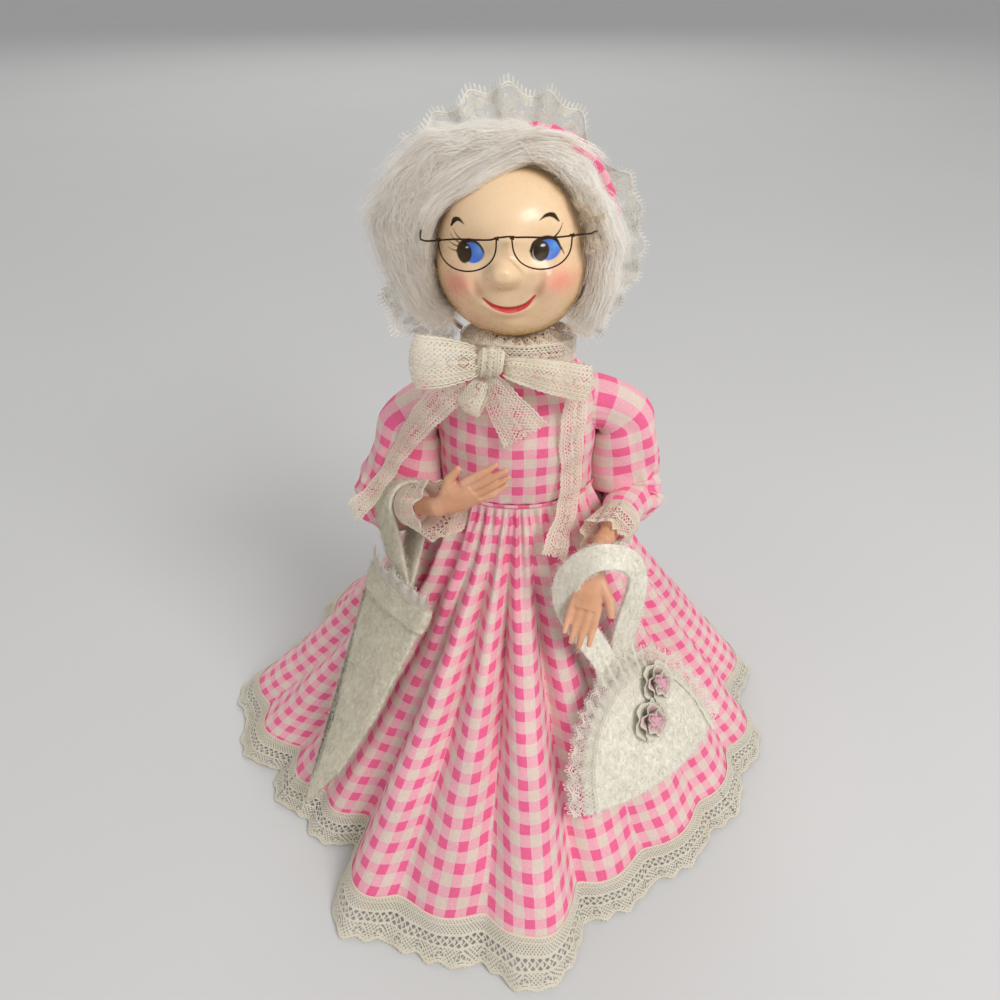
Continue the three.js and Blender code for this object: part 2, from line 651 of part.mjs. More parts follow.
// Spectacles: a top bar whose ends turn back under the hair, and two half-round lens wires
function glassesGeometry() {
  const reach = FACE_DEPTH + NOSE_HEIGHT * 0.55;
  const bow = (x) => -reach + (x / GLASSES_SPAN) ** 2 * 4;
  const temple = (side) => [
    vec(side * (GLASSES_SPAN + 2), bow(GLASSES_SPAN) + 3, GLASSES_Z),
    vec(side * (GLASSES_SPAN + TEMPLE_SPREAD), -WIG_FRONT + 2 * GLASSES_WIRE, GLASSES_Z),
  ];
  const bar = [-1, -0.5, 0, 0.5, 1].map((u) => vec(u * GLASSES_SPAN, bow(u * GLASSES_SPAN), GLASSES_Z));
  const parts = [wire([...temple(-1).reverse(), ...bar, ...temple(1)], GLASSES_WIRE, 18, 5)];
  for (const side of [-1, 1]) {
    const rim = Array.from({ length: 7 }, (_, i) => {
      const angle = Math.PI * (i / 6);
      const x = (side * LENS_PITCH) / 2 - (LENS_WIDTH / 2) * Math.cos(angle);
      return vec(x, bow(x), GLASSES_Z - LENS_HEIGHT * Math.sin(angle) ** 0.75);
    });
    parts.push(wire(rim, GLASSES_WIRE, 10, 5));
  }
  return join(parts);
}

add(head, 'head_form', headFormGeometry(), finish(0xcdb68f, 0.9));
add(head, 'face_mask', wall({
  rows: 10, columns: 30, wrap: true,
  outer: (s, t) => facePoint(s, t, 0),
  inner: (s, t) => facePoint(s, t, FACE_WALL),
}), finish(0xebc9a0, 0.25));
add(head, 'wig', wigGeometry(), finish(0xd8d4d0, 0.95));
add(head, 'bonnet_crown', bonnetCrownGeometry(), finish(GINGHAM_COLOUR, 0.85));
add(head, 'bonnet_lace', bonnetLaceGeometry(), finish(LACE_COLOUR, 0.9));
add(head, 'glasses', glassesGeometry(), finish(0x3a2a20, 0.4, 0.8));

// Arms: the wire is a peg at the shoulder, follows the sleeve and ends as a pin in the forearm's eye.
// Path of the upper arm: a bend of ARM_BEND from the shoulder plane, then straight to the elbow.
function armPath(shoulder, elbow, side) {
  const out = vec(side, 0, 0);
  const reach = elbow.clone().sub(shoulder);
  const run = reach.dot(out);
  const down = reach.clone().addScaledVector(out, -run);
  const fall = down.length();
  down.normalize();
  const spread = Math.hypot(run, fall - ARM_BEND);
  const bend = Math.atan2(run, ARM_BEND - fall) - Math.acos(ARM_BEND / spread);
  const straight = Math.sqrt(spread ** 2 - ARM_BEND ** 2);
  const total = ARM_BEND * bend + straight;
  return (share) => {
    const length = share * total;
    const angle = Math.min(bend, length / ARM_BEND);
    const past = Math.max(0, length - ARM_BEND * bend);
    const along = out.clone().multiplyScalar(Math.cos(angle)).addScaledVector(down, Math.sin(angle));
    const up = out.clone().multiplyScalar(Math.sin(angle)).addScaledVector(down, -Math.cos(angle));
    const point = shoulder.clone()
      .addScaledVector(down, ARM_BEND)
      .addScaledVector(up, ARM_BEND)
      .addScaledVector(along, past);
    return { point, along, up, across: along.clone().cross(up) };
  };
}

function upperSleeveGeometry(arm) {
  const surface = (inset) => (s, t) => {
    const at = arm.path(s);
    const radius = lerp(SLEEVE_CAP_RADIUS, SLEEVE_RADIUS, s) - inset;
    const angle = 2 * Math.PI * t;
    return at.point.clone()
      .addScaledVector(at.up, radius * Math.cos(angle))
      .addScaledVector(at.across, radius * Math.sin(angle));
  };
  const tube = wall({ rows: 8, columns: 18, wrap: true, outer: surface(0), inner: surface(CLOTH) });
  const swing = [0, 0.5, 1].map((share) => {
    const swung = arm.forearm.clone().applyAxisAngle(vec(0, 0, arm.side), radians(ELBOW_RANGE * share));
    return rod(arm.elbow, arm.elbow.clone().addScaledVector(swung, 60), ELBOW_RADIUS + 2 * GAP, 14);
  });
  return cut(tube, [ball(arm.elbow, ELBOW_RADIUS + 2 * GAP, 16), ...swing]);
}

function upperWireGeometry(arm) {
  const peg = arm.shoulder.clone().addScaledVector(vec(arm.side, 0, 0), -PEG_LENGTH);
  const stations = [0, 0.12, 0.24, 0.36, 0.5, 0.65, 0.78].map((share) => arm.path(share).point);
  const pinTop = arm.elbow.clone().add(vec(0, 0, EYE_HEIGHT * 1.6));
  const pinEnd = arm.elbow.clone().add(vec(0, 0, -EYE_HEIGHT));
  return wire([peg, ...stations, pinTop, arm.elbow, pinEnd], WIRE_RADIUS, 20);
}

function forearmWireGeometry(arm) {
  const bore = WIRE_RADIUS + WIRE_CLEARANCE;
  const half = EYE_HEIGHT / 2;
  const eye = turned([[bore, -half], [EYE_RADIUS, -half], [EYE_RADIUS, half], [bore, half], [bore, -half]], 14);
  eye.translate(arm.elbow.x, arm.elbow.y, arm.elbow.z);
  const flat = vec(arm.forearm.x, arm.forearm.y, 0).normalize();
  const start = arm.elbow.clone().addScaledVector(flat, bore + WIRE_RADIUS + GAP);
  const end = arm.wrist.clone().addScaledVector(arm.forearm, HAND_BORE - GAP - WRIST_STUB);
  return join([eye, rod(start, end, WIRE_RADIUS, 8)]);
}

function lowerSleeveGeometry(arm) {
  const capShare = 0.4;
  const length = arm.sleeveLength;
  const surface = (inset) => (s, t) => {
    const angle = 2 * Math.PI * t;
    const cap = Math.min(1, s / capShare) * (Math.PI / 2);
    const past = Math.max(0, (s - capShare) / (1 - capShare));
    const radius = s < capShare
      ? (ELBOW_RADIUS - inset) * Math.sin(cap)
      : lerp(ELBOW_RADIUS, SLEEVE_END_RADIUS, past) - inset;
    const along = s < capShare ? -(ELBOW_RADIUS - inset) * Math.cos(cap) : past * length;
    return arm.elbow.clone()
      .addScaledVector(arm.forearm, along)
      .addScaledVector(arm.lift, radius * Math.cos(angle))
      .addScaledVector(arm.sideways, radius * Math.sin(angle));
  };
  const tube = wall({ rows: 8, columns: 18, wrap: true, outer: surface(0), inner: surface(CLOTH) });
  const way = arm.path(0.7).point.sub(arm.elbow).normalize();
  return cut(tube, [rod(arm.elbow, arm.elbow.clone().addScaledVector(way, 2 * ELBOW_RADIUS), WIRE_RADIUS * 4)]);
}

function cuffGeometry(arm) {
  const start = arm.sleeveLength + GAP;
  const surface = (inset) => (s, t) => {
    const angle = 2 * Math.PI * t;
    const frill = Math.cos(angle * 5) * 1.6 * s;
    const radius = lerp(SLEEVE_END_RADIUS, arm.cuffFlare, s ** 1.3) + frill - inset;
    return arm.elbow.clone()
      .addScaledVector(arm.forearm, start + s * CUFF_LENGTH)
      .addScaledVector(arm.lift, radius * Math.cos(angle))
      .addScaledVector(arm.sideways, radius * Math.sin(angle));
  };
  return wall({ rows: 2, columns: 30, wrap: true, outer: surface(0), inner: surface(LACE) });
}

// Hand in its own frame: fingers along +X, thumb towards +Y, palm towards -Z on the right hand.
const FINGERS = [
  { y: 0.37, length: 0.47, radius: 2.7, droop: -2.5 },
  { y: 0.125, length: 0.53, radius: 2.8, droop: -1.5 },
  { y: -0.12, length: 0.49, radius: 2.7, droop: -2 },
  { y: -0.36, length: 0.38, radius: 2.4, droop: -3.5 },
];

function tapered(points, radii, sides) {
  const path = new THREE.CatmullRomCurve3(points, false, 'centripetal');
  const steps = radii.length - 1;
  const rings = radii.map(([wide, thick], i) => {
    const along = path.getTangent(i / steps);
    const first = vec(0, 1, 0).addScaledVector(along, -along.y).normalize();
    return ring(path.getPoint(i / steps), first, along.clone().cross(first), wide, thick, sides);
  });
  return loft(rings);
}

// The palm starts a bare wrist ahead of the arm's end, and the stub runs back into the sleeve.
function handGeometry(stubDirection, bareWrist) {
  const knuckles = HAND_LENGTH * 0.47;
  const half = PALM_WIDTH / 2;
  const armEnd = vec(-bareWrist, 0, 0);
  const stub = armEnd.clone().addScaledVector(stubDirection, WRIST_STUB);
  const inStub = (share) => armEnd.clone().lerp(stub, share);
  const round = [WRIST_RADIUS, WRIST_RADIUS];
  const palm = tapered(
    [stub, inStub(0.5), armEnd, vec(0, 0, 0), vec(knuckles * 0.5, 0, -0.5), vec(knuckles, 0, -0.6)],
    [round, round, round, [half * 0.66, WRIST_RADIUS * 0.9], [half, 4.4], [half * 0.92, 3.4]], 14,
  );
  const fingers = FINGERS.map(({ y, length, radius, droop }) => {
    const root = knuckles - 3;
    const reach = HAND_LENGTH * length + 2;
    const side = y * PALM_WIDTH;
    return tapered(
      [
        vec(root, side, -0.5), vec(root + reach * 0.5, side * 1.06, -0.3 + droop * 0.15),
        vec(root + reach, side * 1.1, droop),
      ],
      [[radius, radius], [radius * 0.95, radius * 0.95], [radius * 0.55, radius * 0.55]], 8,
    );
  });
  const thumb = tapered(
    [
      vec(knuckles * 0.2, half * 0.45, -1), vec(knuckles * 0.62, half * 1.25, -2.4),
      vec(knuckles * 1.05, half * 1.62, -3.4),
    ],
    [[3.6, 3.2], [3.1, 2.9], [1.8, 1.7]], 8,
  );
  const bore = rod(inStub(1.05), inStub(1 - HAND_BORE / WRIST_STUB), WIRE_RADIUS + GAP, 8);
  return cut(join([palm, ...fingers, thumb]), [bore]);
}

function addHand(arm, skin) {
  const along = vec(...arm.fingersDirection).normalize();
  const spread = vec(...arm.thumbDirection);
  const thumb = spread.addScaledVector(along, -along.dot(spread)).normalize();
  const basis = new THREE.Matrix4().makeBasis(along, thumb, along.clone().cross(thumb));
  const mirror = new THREE.Matrix4().makeScale(1, 1, -arm.side);
  const toLocal = basis.clone().multiply(mirror).invert();
  const stubDirection = arm.forearm.clone().negate().applyMatrix4(toLocal);
  const geometry = bare(handGeometry(stubDirection, arm.bareWrist).applyMatrix4(mirror));
  const mesh = add(doll, `${arm.name}_hand`, geometry, skin);
  mesh.quaternion.setFromRotationMatrix(basis);
  mesh.position.copy(arm.wrist).addScaledVector(along, arm.bareWrist);
}

function armFrom({ name, side, elbow, wrist, cuffFlare, bareWrist, fingers, thumb }) {
  const shoulder = vec(side * SLEEVE_PLANE, 0, SHOULDER_PIVOT_Z);
  const elbowPoint = shoulder.clone().add(vec(...elbow));
  const reach = vec(...wrist);
  const forearm = reach.clone().normalize();
  const lift = vec(0, 0, 1).addScaledVector(forearm, -forearm.z).normalize();
  return {
    name, side, shoulder, forearm, lift, cuffFlare, bareWrist,
    elbow: elbowPoint,
    wrist: elbowPoint.clone().add(reach),
    sideways: forearm.clone().cross(lift),
    sleeveLength: reach.length() - CUFF_LENGTH - 2,
    path: armPath(shoulder, elbowPoint, side),
    fingersDirection: fingers,
    thumbDirection: thumb,
  };
}

const arms = ARMS.map(armFrom);
for (const arm of arms) {
  add(doll, `${arm.name}_upper_arm_wire`, upperWireGeometry(arm), finish(WIRE_COLOUR, 0.4, 0.9));
  add(doll, `${arm.name}_upper_sleeve`, upperSleeveGeometry(arm), finish(GINGHAM_COLOUR, 0.85));
  add(doll, `${arm.name}_forearm_wire`, forearmWireGeometry(arm), finish(WIRE_COLOUR, 0.4, 0.9));
  add(doll, `${arm.name}_lower_sleeve`, lowerSleeveGeometry(arm), finish(GINGHAM_COLOUR, 0.85));
  add(doll, `${arm.name}_cuff_lace`, cuffGeometry(arm), finish(LACE_COLOUR, 0.9));
  addHand(arm, finish(SKIN_COLOUR, 0.45));
}

// Ribbon round the neck with a bow: the band rests on the shoulders of the bodice
const bandBottom = lerp(SHOULDER_Z, PLATE_TOP, 0.55) + CLOTH + 2 * GAP;

function bandPoint(turn, share, inset) {
  const angle = 2 * Math.PI * turn;
  const front = Math.cos(angle);
  const depth = (front > 0 ? BAND_FRONT : BAND_BACK) - inset;
  const z = bandBottom + share * BAND_HEIGHT + BAND_RISE * Math.max(0, front);
  return vec((BAND_HALF_WIDTH - inset) * Math.sin(angle), -depth * front, z);
}

add(doll, 'neck_band', wall({
  rows: 1, columns: 32, wrap: true,
  outer: (s, t) => bandPoint(t, s, 0),
  inner: (s, t) => bandPoint(t, s, LACE),
}), finish(LACE_COLOUR, 0.9));

const knotTurn = (x) => Math.asin(x / BAND_HALF_WIDTH) / (2 * Math.PI);
const knotSeat = bandPoint(knotTurn(KNOT_X + KNOT_HALF[0]), 0.6, 0);
const knot = vec(KNOT_X, knotSeat.y - GAP - KNOT_HALF[1], knotSeat.z);
const knotGeometry = new THREE.SphereGeometry(1, 12, 7).scale(...KNOT_HALF);
add(doll, 'bow_knot', bare(knotGeometry.translate(knot.x, knot.y, knot.z)), finish(LACE_COLOUR, 0.9));

// Loop of ribbon: a drop outline with its hole, as deep as the ribbon is wide
function loopGeometry({ length, depth, towards, rise }) {
  const steps = 18;
  const drop = (inset) => Array.from({ length: steps }, (_, i) => {
    const angle = (2 * Math.PI * i) / steps;
    const along = (length / 2 - inset) * (1 - Math.cos(angle)) + inset;
    return new THREE.Vector2(along, -(depth / 2 - inset) * Math.sin(angle) * (0.55 + 0.45 * (along / length)));
  });
  const outline = new THREE.Shape(drop(0));
  outline.holes.push(new THREE.Path(drop(LACE)));
  const band = new THREE.ExtrudeGeometry(outline, { depth: RIBBON_WIDTH, bevelEnabled: false });
  band.translate(0, 0, -RIBBON_WIDTH / 2);
  const along = vec(...towards).normalize();
  const up = vec(0, 0.35, 0.94).addScaledVector(along, -along.dot(vec(0, 0.35, 0.94))).normalize();
  band.applyMatrix4(new THREE.Matrix4().makeBasis(along, up.clone().cross(along), up));
  const start = knot.clone().addScaledVector(along, KNOT_HALF[0] + GAP).add(vec(0, 0, rise));
  return bare(band.translate(start.x, start.y, start.z));
}

add(doll, 'bow_loop_right', loopGeometry(LOOP_RIGHT), finish(LACE_COLOUR, 0.9));
add(doll, 'bow_loop_left', loopGeometry(LOOP_LEFT), finish(LACE_COLOUR, 0.9));

// Outward direction of the bodice at a point
const bodyFacing = (p) => vec(p.x / CHEST_HALF_WIDTH ** 2, p.y / CHEST_HALF_DEPTH ** 2, 0).normalize();
const below = (x, y, z) => knot.clone().add(vec(x, y, z));
add(doll, 'bow_tail', ribbon(
  [
    below(-1, 0, -KNOT_HALF[2] - 4 * GAP), below(8, -0.5, -KNOT_HALF[2] - TAIL_LENGTH * 0.5),
    below(19, 0, -KNOT_HALF[2] - TAIL_LENGTH),
  ],
  bodyFacing, (u) => lerp(RIBBON_WIDTH * 0.6, TAIL_SPREAD, u), LACE, 4,
), finish(LACE_COLOUR, 0.9));

// Long ends: one over the right sleeve, one down the front to the skirt
const STREAMERS = {
  streamer_right: [
    [-27, -40.5, 289], [-39, -36, 278], [-52, -28, 260], [-64, -22.3, 240], [-74, -21.8, 223],
    [-85, -24, 209], [-96, -26, 199],
  ],
  streamer_left: [
    [31, -27.5, 277], [30, -29.5, 265], [29, -31.2, 250], [30, -31, 228], [28, -38, 208],
    [23, -50, 196], [20, -58, 188],
  ],
};
for (const [name, route] of Object.entries(STREAMERS)) {
  const points = route.map((p) => vec(...p));
  add(doll, name, ribbon(points, bodyFacing, RIBBON_WIDTH * 0.95, LACE, 12), finish(LACE_COLOUR, 0.9));
}

// Place on the skirt: azimuth and height, lifted off the cloth along its outward normal
function onSkirt(azimuth, z, lift) {
  const drop = (SKIRT_TOP - z) / (SKIRT_TOP - HEM_CLEARANCE);
  const here = skirtPoint(drop, azimuth);
  const lower = skirtPoint(drop + 0.02, azimuth);
  const fall = lower.sub(here).normalize();
  const side = vec(Math.cos(radians(azimuth)), Math.sin(radians(azimuth)), 0);
  const normal = fall.clone().cross(side).normalize();
  return { point: here.addScaledVector(normal, lift), normal, fall, side };
}

// Handbag: u runs round the skirt, v up its slope and h outwards
const bagBase = onSkirt(BAG_AZIMUTH, BAG_BASE_Z, 0);
const bagSpread = Math.hypot(bagBase.point.x, bagBase.point.y);

function bagPoint(u, v, h) {
  const z = BAG_BASE_Z - v * bagBase.fall.z;
  const place = onSkirt(BAG_AZIMUTH, z, BAG_CLEARANCE + h);
  const turn = vec(0, 0, 1);
  return place.point.applyAxisAngle(turn, u / bagSpread);
}

// Half-round outline: a straight base and a full arch over it
const bagArch = (angle) => [(BAG_WIDTH / 2) * Math.cos(angle), BAG_HEIGHT * Math.sin(angle) ** 0.8];
function bagOutline(t) {
  const arch = 0.72;
  if (t > arch) return [lerp(-BAG_WIDTH / 2, BAG_WIDTH / 2, (t - arch) / (1 - arch)), 0];
  return bagArch(Math.PI * (t / arch));
}

const bagMiddle = [0, BAG_HEIGHT * 0.4];
function bagFace(s, t, front) {
  const [u, v] = bagOutline(t);
  const pillow = (BAG_THICKNESS - BAG_EDGE) * 0.5 * (1 - s ** 3);
  const h = front ? (BAG_THICKNESS + BAG_EDGE) / 2 + pillow : (BAG_THICKNESS - BAG_EDGE) / 2 - pillow;
  return bagPoint(lerp(bagMiddle[0], u, s), lerp(bagMiddle[1], v, s), h);
}

add(doll, 'bag_body', wall({
  rows: 4, columns: 36, wrap: true,
  outer: (s, t) => bagFace(s, t, true),
  inner: (s, t) => bagFace(s, t, false),
}), finish(FELT_COLOUR, 0.95));

function bagLacePoint(s, t, layer) {
  const angle = Math.PI * t;
  const [u, v] = bagArch(angle);
  const reach = GAP * 2 + s * BAG_LACE_WIDTH;
  const wave = Math.cos(angle * 14) * 0.8 * s;
  const front = (BAG_THICKNESS + BAG_EDGE - LACE) / 2;
  return bagPoint(u + reach * Math.cos(angle), v + reach * Math.sin(angle), front + wave + layer);
}

add(doll, 'bag_lace', wall({
  rows: 1, columns: 40, wrap: false,
  outer: (s, t) => bagLacePoint(s, t, LACE / 2),
  inner: (s, t) => bagLacePoint(s, t, -LACE / 2),
}), finish(LACE_COLOUR, 0.9));

for (const { name, u, v } of ROSETTES) {
  const petals = (s, t, h) => {
    const radius = ROSETTE_RADIUS * s * (1 + 0.12 * Math.cos(2 * Math.PI * t * 5));
    return bagPoint(u + radius * Math.cos(2 * Math.PI * t), v + radius * Math.sin(2 * Math.PI * t), h);
  };
  const seat = BAG_THICKNESS + GAP;
  add(doll, `bag_rosette_${name}`, wall({
    rows: 3, columns: 20, wrap: true,
    outer: (s, t) => petals(s, t, seat + ROSETTE_THICKNESS * (1 - 0.6 * s * s)),
    inner: (s, t) => petals(s, t, seat),
  }), finish(0xe9b7c4, 0.9));
}

const leftArm = arms.find((arm) => arm.name === 'left');
const behindLace = (u, past) => {
  const highest = Math.max(0, Math.abs(u) - BAG_STRAP_WIDTH / 2);
  const [, top] = bagArch(Math.acos(highest / (BAG_WIDTH / 2)));
  return bagPoint(u, top + past, FELT);
};
const strapRoute = [
  behindLace(STRAP_ENDS[0], 2 * GAP), behindLace(STRAP_ENDS[0], BAG_LACE_WIDTH + 2),
  ...STRAP_ROUTE.map((p) => leftArm.wrist.clone().add(vec(...p))),
  behindLace(STRAP_ENDS[1], BAG_LACE_WIDTH + 2), behindLace(STRAP_ENDS[1], 2 * GAP),
];
const wristFacing = vec(0, -0.9, 0.43);
const strapFacing = (p, u) => bagBase.normal.clone().lerp(wristFacing, Math.sin(Math.PI * u)).normalize();
add(doll, 'bag_strap', ribbon(strapRoute, strapFacing, BAG_STRAP_WIDTH, FELT, 24), finish(FELT_COLOUR, 0.95));

// Closed parasol: a flattened felt cone along the skirt, with a folded band at its top
const parasolAt = (s) => onSkirt(
  lerp(PARASOL_TOP_AZIMUTH, PARASOL_TIP_AZIMUTH, s), lerp(PARASOL_TOP_Z, PARASOL_TIP_Z, s),
  PARASOL_CLEARANCE + PARASOL_THICKNESS / 2,
);

function parasolRing(s, grow) {
  const at = parasolAt(s);
  const along = parasolAt(Math.min(1, s + 0.03)).point.sub(parasolAt(Math.max(0, s - 0.03)).point).normalize();
  const across = along.clone().cross(at.normal).normalize();
  const width = (PARASOL_WIDTH / 2) * (1 - s) ** 0.85 + 1.5 + grow;
  const thick = (PARASOL_THICKNESS / 2) * (1 - 0.75 * s) + grow * 0.6;
  return ring(at.point, across, at.normal, width, thick, 16);
}

const parasolRows = [
  [0, PARASOL_FOLD], [PARASOL_BAND, PARASOL_FOLD], [PARASOL_BAND + 0.005, 0],
  [0.25, 0], [0.42, 0], [0.6, 0], [0.78, 0], [0.92, 0], [1, 0],
];
const canopy = loft(parasolRows.map(([s, grow]) => parasolRing(s, grow)));
add(doll, 'parasol_canopy', canopy, finish(FELT_COLOUR, 0.95));

// Lace that stands up along the front of the parasol's band
const parasolTop = parasolAt(0);
const parasolUp = parasolTop.point.clone().sub(parasolAt(0.03).point).normalize();
function parasolLacePoint(s, t, layer) {
  const across = parasolUp.clone().cross(parasolTop.normal).normalize();
  const angle = lerp(0.08, 0.92, t) * Math.PI;
  const half = PARASOL_WIDTH / 2 + PARASOL_FOLD;
  const thick = PARASOL_THICKNESS / 2 + layer;
  return parasolTop.point.clone()
    .addScaledVector(across, half * Math.cos(angle))
    .addScaledVector(parasolTop.normal, thick * Math.sin(angle))
    .addScaledVector(parasolUp, GAP * 2 + s * PARASOL_LACE_WIDTH);
}

add(doll, 'parasol_lace', wall({
  rows: 1, columns: 24, wrap: false,
  outer: (s, t) => parasolLacePoint(s, t, 0),
  inner: (s, t) => parasolLacePoint(s, t, -LACE),
}), finish(LACE_COLOUR, 0.9));

// Strap: a drop-shaped loop round the forearm, drawn over to the parasol's top
const rightArm = arms.find((arm) => arm.name === 'right');

function parasolStrapGeometry() {
  const hook = rightArm.elbow.clone().addScaledVector(rightArm.forearm, PARASOL_STRAP_AT);
  const hang = parasolTop.point.clone().addScaledVector(parasolUp, 10 * GAP).sub(hook);
  const lean = hang.dot(rightArm.forearm);
  const down = hang.clone().addScaledVector(rightArm.forearm, -lean);
  const reach = down.length();
  down.normalize();
  const inside = ELBOW_RADIUS + GAP;
  const steps = 20;
  const drop = (inset) => Array.from({ length: steps }, (_, i) => {
    const angle = (2 * Math.PI * i) / steps;
    const radius = inside + FELT - inset;
    const low = Math.max(0, Math.cos(angle));
    const pinch = lerp(1, 0.28, low ** 1.5);
    const along = radius * Math.cos(angle) + low ** 1.5 * (reach - inside - FELT);
    return new THREE.Vector2(along, radius * Math.sin(angle) * pinch);
  });
  const outline = new THREE.Shape(drop(0));
  outline.holes.push(new THREE.Path(drop(FELT)));
  const band = new THREE.ExtrudeGeometry(outline, { depth: PARASOL_STRAP_WIDTH, bevelEnabled: false });
  band.translate(0, 0, -PARASOL_STRAP_WIDTH / 2);
  const shear = new THREE.Matrix4().makeShear(0, lean / reach, 0, 0, 0, 0);
  band.applyMatrix4(shear);
  const across = rightArm.forearm.clone().cross(down);
  band.applyMatrix4(new THREE.Matrix4().makeBasis(down, across, rightArm.forearm));
  return bare(band.translate(hook.x, hook.y, hook.z));
}

add(doll, 'parasol_strap', parasolStrapGeometry(), finish(FELT_COLOUR, 0.95));

export default doll;
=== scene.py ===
import math

import bpy
import numpy as np
from mathutils import Matrix, Vector


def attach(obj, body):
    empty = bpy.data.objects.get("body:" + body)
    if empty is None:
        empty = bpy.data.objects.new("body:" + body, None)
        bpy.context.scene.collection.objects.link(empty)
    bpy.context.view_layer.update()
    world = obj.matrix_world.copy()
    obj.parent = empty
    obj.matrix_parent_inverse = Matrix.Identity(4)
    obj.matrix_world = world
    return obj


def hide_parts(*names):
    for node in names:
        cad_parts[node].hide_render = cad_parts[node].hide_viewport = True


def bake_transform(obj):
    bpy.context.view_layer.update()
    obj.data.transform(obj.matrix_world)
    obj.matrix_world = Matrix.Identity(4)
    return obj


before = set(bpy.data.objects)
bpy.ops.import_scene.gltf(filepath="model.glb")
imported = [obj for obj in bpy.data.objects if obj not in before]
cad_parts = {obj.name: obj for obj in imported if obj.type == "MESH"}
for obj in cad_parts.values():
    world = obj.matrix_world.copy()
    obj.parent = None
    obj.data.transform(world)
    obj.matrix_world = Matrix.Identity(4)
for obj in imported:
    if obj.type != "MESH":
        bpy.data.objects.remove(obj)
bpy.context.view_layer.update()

# Bottle doll: cloth, lace, felt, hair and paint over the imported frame.
# Shapes are worked in millimetres and written to the meshes in metres.
bpy.ops.object.select_all(action="DESELECT")
MM = 0.001
PI = math.pi

# Dress: one repeat of the gingham, the waist, and the skirt's ends
CHECK = 12.5
WAIST_HALF = (46.0, 37.0)
SKIRT_TOP, HEM_Z = 207.7, 0.8
HEM_RADIUS = 190.0
# Azimuth, and how far the hem stands out there from its radius
HEM_FOLDS = [
    (-92, 22), (-76, 13), (-62, -4), (-48, -14), (-41, -18), (-32, 13), (-20, 9), (-8, 8),
    (6, 16), (20, -12), (42, -17), (60, -13), (77, -6), (90, -9), (105, 5), (125, -10),
    (145, 7), (165, -9), (185, 8), (205, -8), (225, 9), (246, -2),
]
HEM_LACE = 24.0
# Height, half width and half depth of the bodice
BODY = [(208, 46, 37), (228, 46.5, 37.6), (250, 47, 38), (270, 45, 32), (283, 32, 25), (293.6, 18, 18)]

# Head: its place, its turns in degrees about x, y and z, and the plain oval of the mask
HEAD_AT = (-3.5, -2.0, 347.0)
HEAD_TURN = (-10.0, -3.5, -5.0)
FACE_HALF = (38.0, 41.0)
FACE_DEPTH = 40.0
# Where the mask's edge starts to turn in, as a share of the way from its middle
RIM_START = 0.965
JAW_FULLNESS = 0.32
CHIN_DROP = 0.12
# Outer radius of the roll of hair by angle round the face, and the arc that it covers
WIG_OUTLINE = [
    (-46, 55), (-10, 53), (25, 49.5), (57, 48.5), (80, 51), (100, 55), (135, 63), (160, 66), (180, 63),
    (195, 57), (208, 53), (220, 50),
]
WIG_ARC = (-46, 220)

# Bonnet: its arc round the face in degrees, and its round crown
BONNET_ARC = (-54, 234)
CROWN_RADIUS, CROWN_START, CROWN_END, CROWN_DROP = 50, 7, 59, 3
# Widths of the bonnet's brim and lace by angle round the face
BRIM = [(-54, 2), (0, 3), (30, 7), (58, 10), (85, 8), (112, 3.5), (140, 2), (234, 2)]
BONNET_LACE = [(-54, 15), (0, 20), (40, 22), (75, 29), (110, 30), (140, 28), (175, 19), (234, 14)]

# Spectacles: half of the bar, its height, and the place, half width and drop of each rim
BAR_HALF, BAR_Z = 37, 8
RIM_X, RIM_HALF, RIM_DROP = 17, 13.5, 14

# Arms: the elbow from the shoulder and the wrist from the elbow, the cuff's flare and the sleeve's slack
ARMS = {
    "right": dict(side=-1, elbow=(-39, 0, -72), wrist=(43, -55, 36), flare=19.0, slack=22.0),
    "left": dict(side=1, elbow=(29, 2, -66), wrist=(-30, -66, 14), flare=13.5, slack=18.0),
}
SHOULDER_X, SHOULDER_Z = 47.3, 257
WIRE_BEND = 19.0
# How far the sleeve stops short of the wrist
BARE_WRIST = 27
CUFF_REPEAT, CUFF_REPEATS, CUFF_WIDE = 11.0, 12, 25.0
# Finest detail that is kept on the moulded hands
HAND_GRAIN = 0.6


# Small tools for numbers

def vec(*p):
    return np.array(p, float)


def unit(v):
    v = np.asarray(v, float)
    return v / np.linalg.norm(v, axis=-1, keepdims=True)


def lerp(a, b, t):
    return a + (b - a) * t


def stack(x, y, z):
    return np.stack(np.broadcast_arrays(x, y, z), axis=-1).astype(float)


def ease(x):
    x = np.clip(x, 0, 1)
    return x * x * (3 - 2 * x)


def hill(distance, spread, power=2.0):
    return np.exp(-np.abs(distance / spread) ** power)


def around(half_wide, half_deep, angle, z):
    """Points round the upright axis: angle is 0 in front and grows to the doll's left."""
    return stack(half_wide * np.sin(angle), -half_deep * np.cos(angle), z)


def ring_of(one, two, angle):
    """Directions round a line, from the two that lie across it."""
    return one * np.cos(angle)[:, None] + two * np.sin(angle)[:, None]


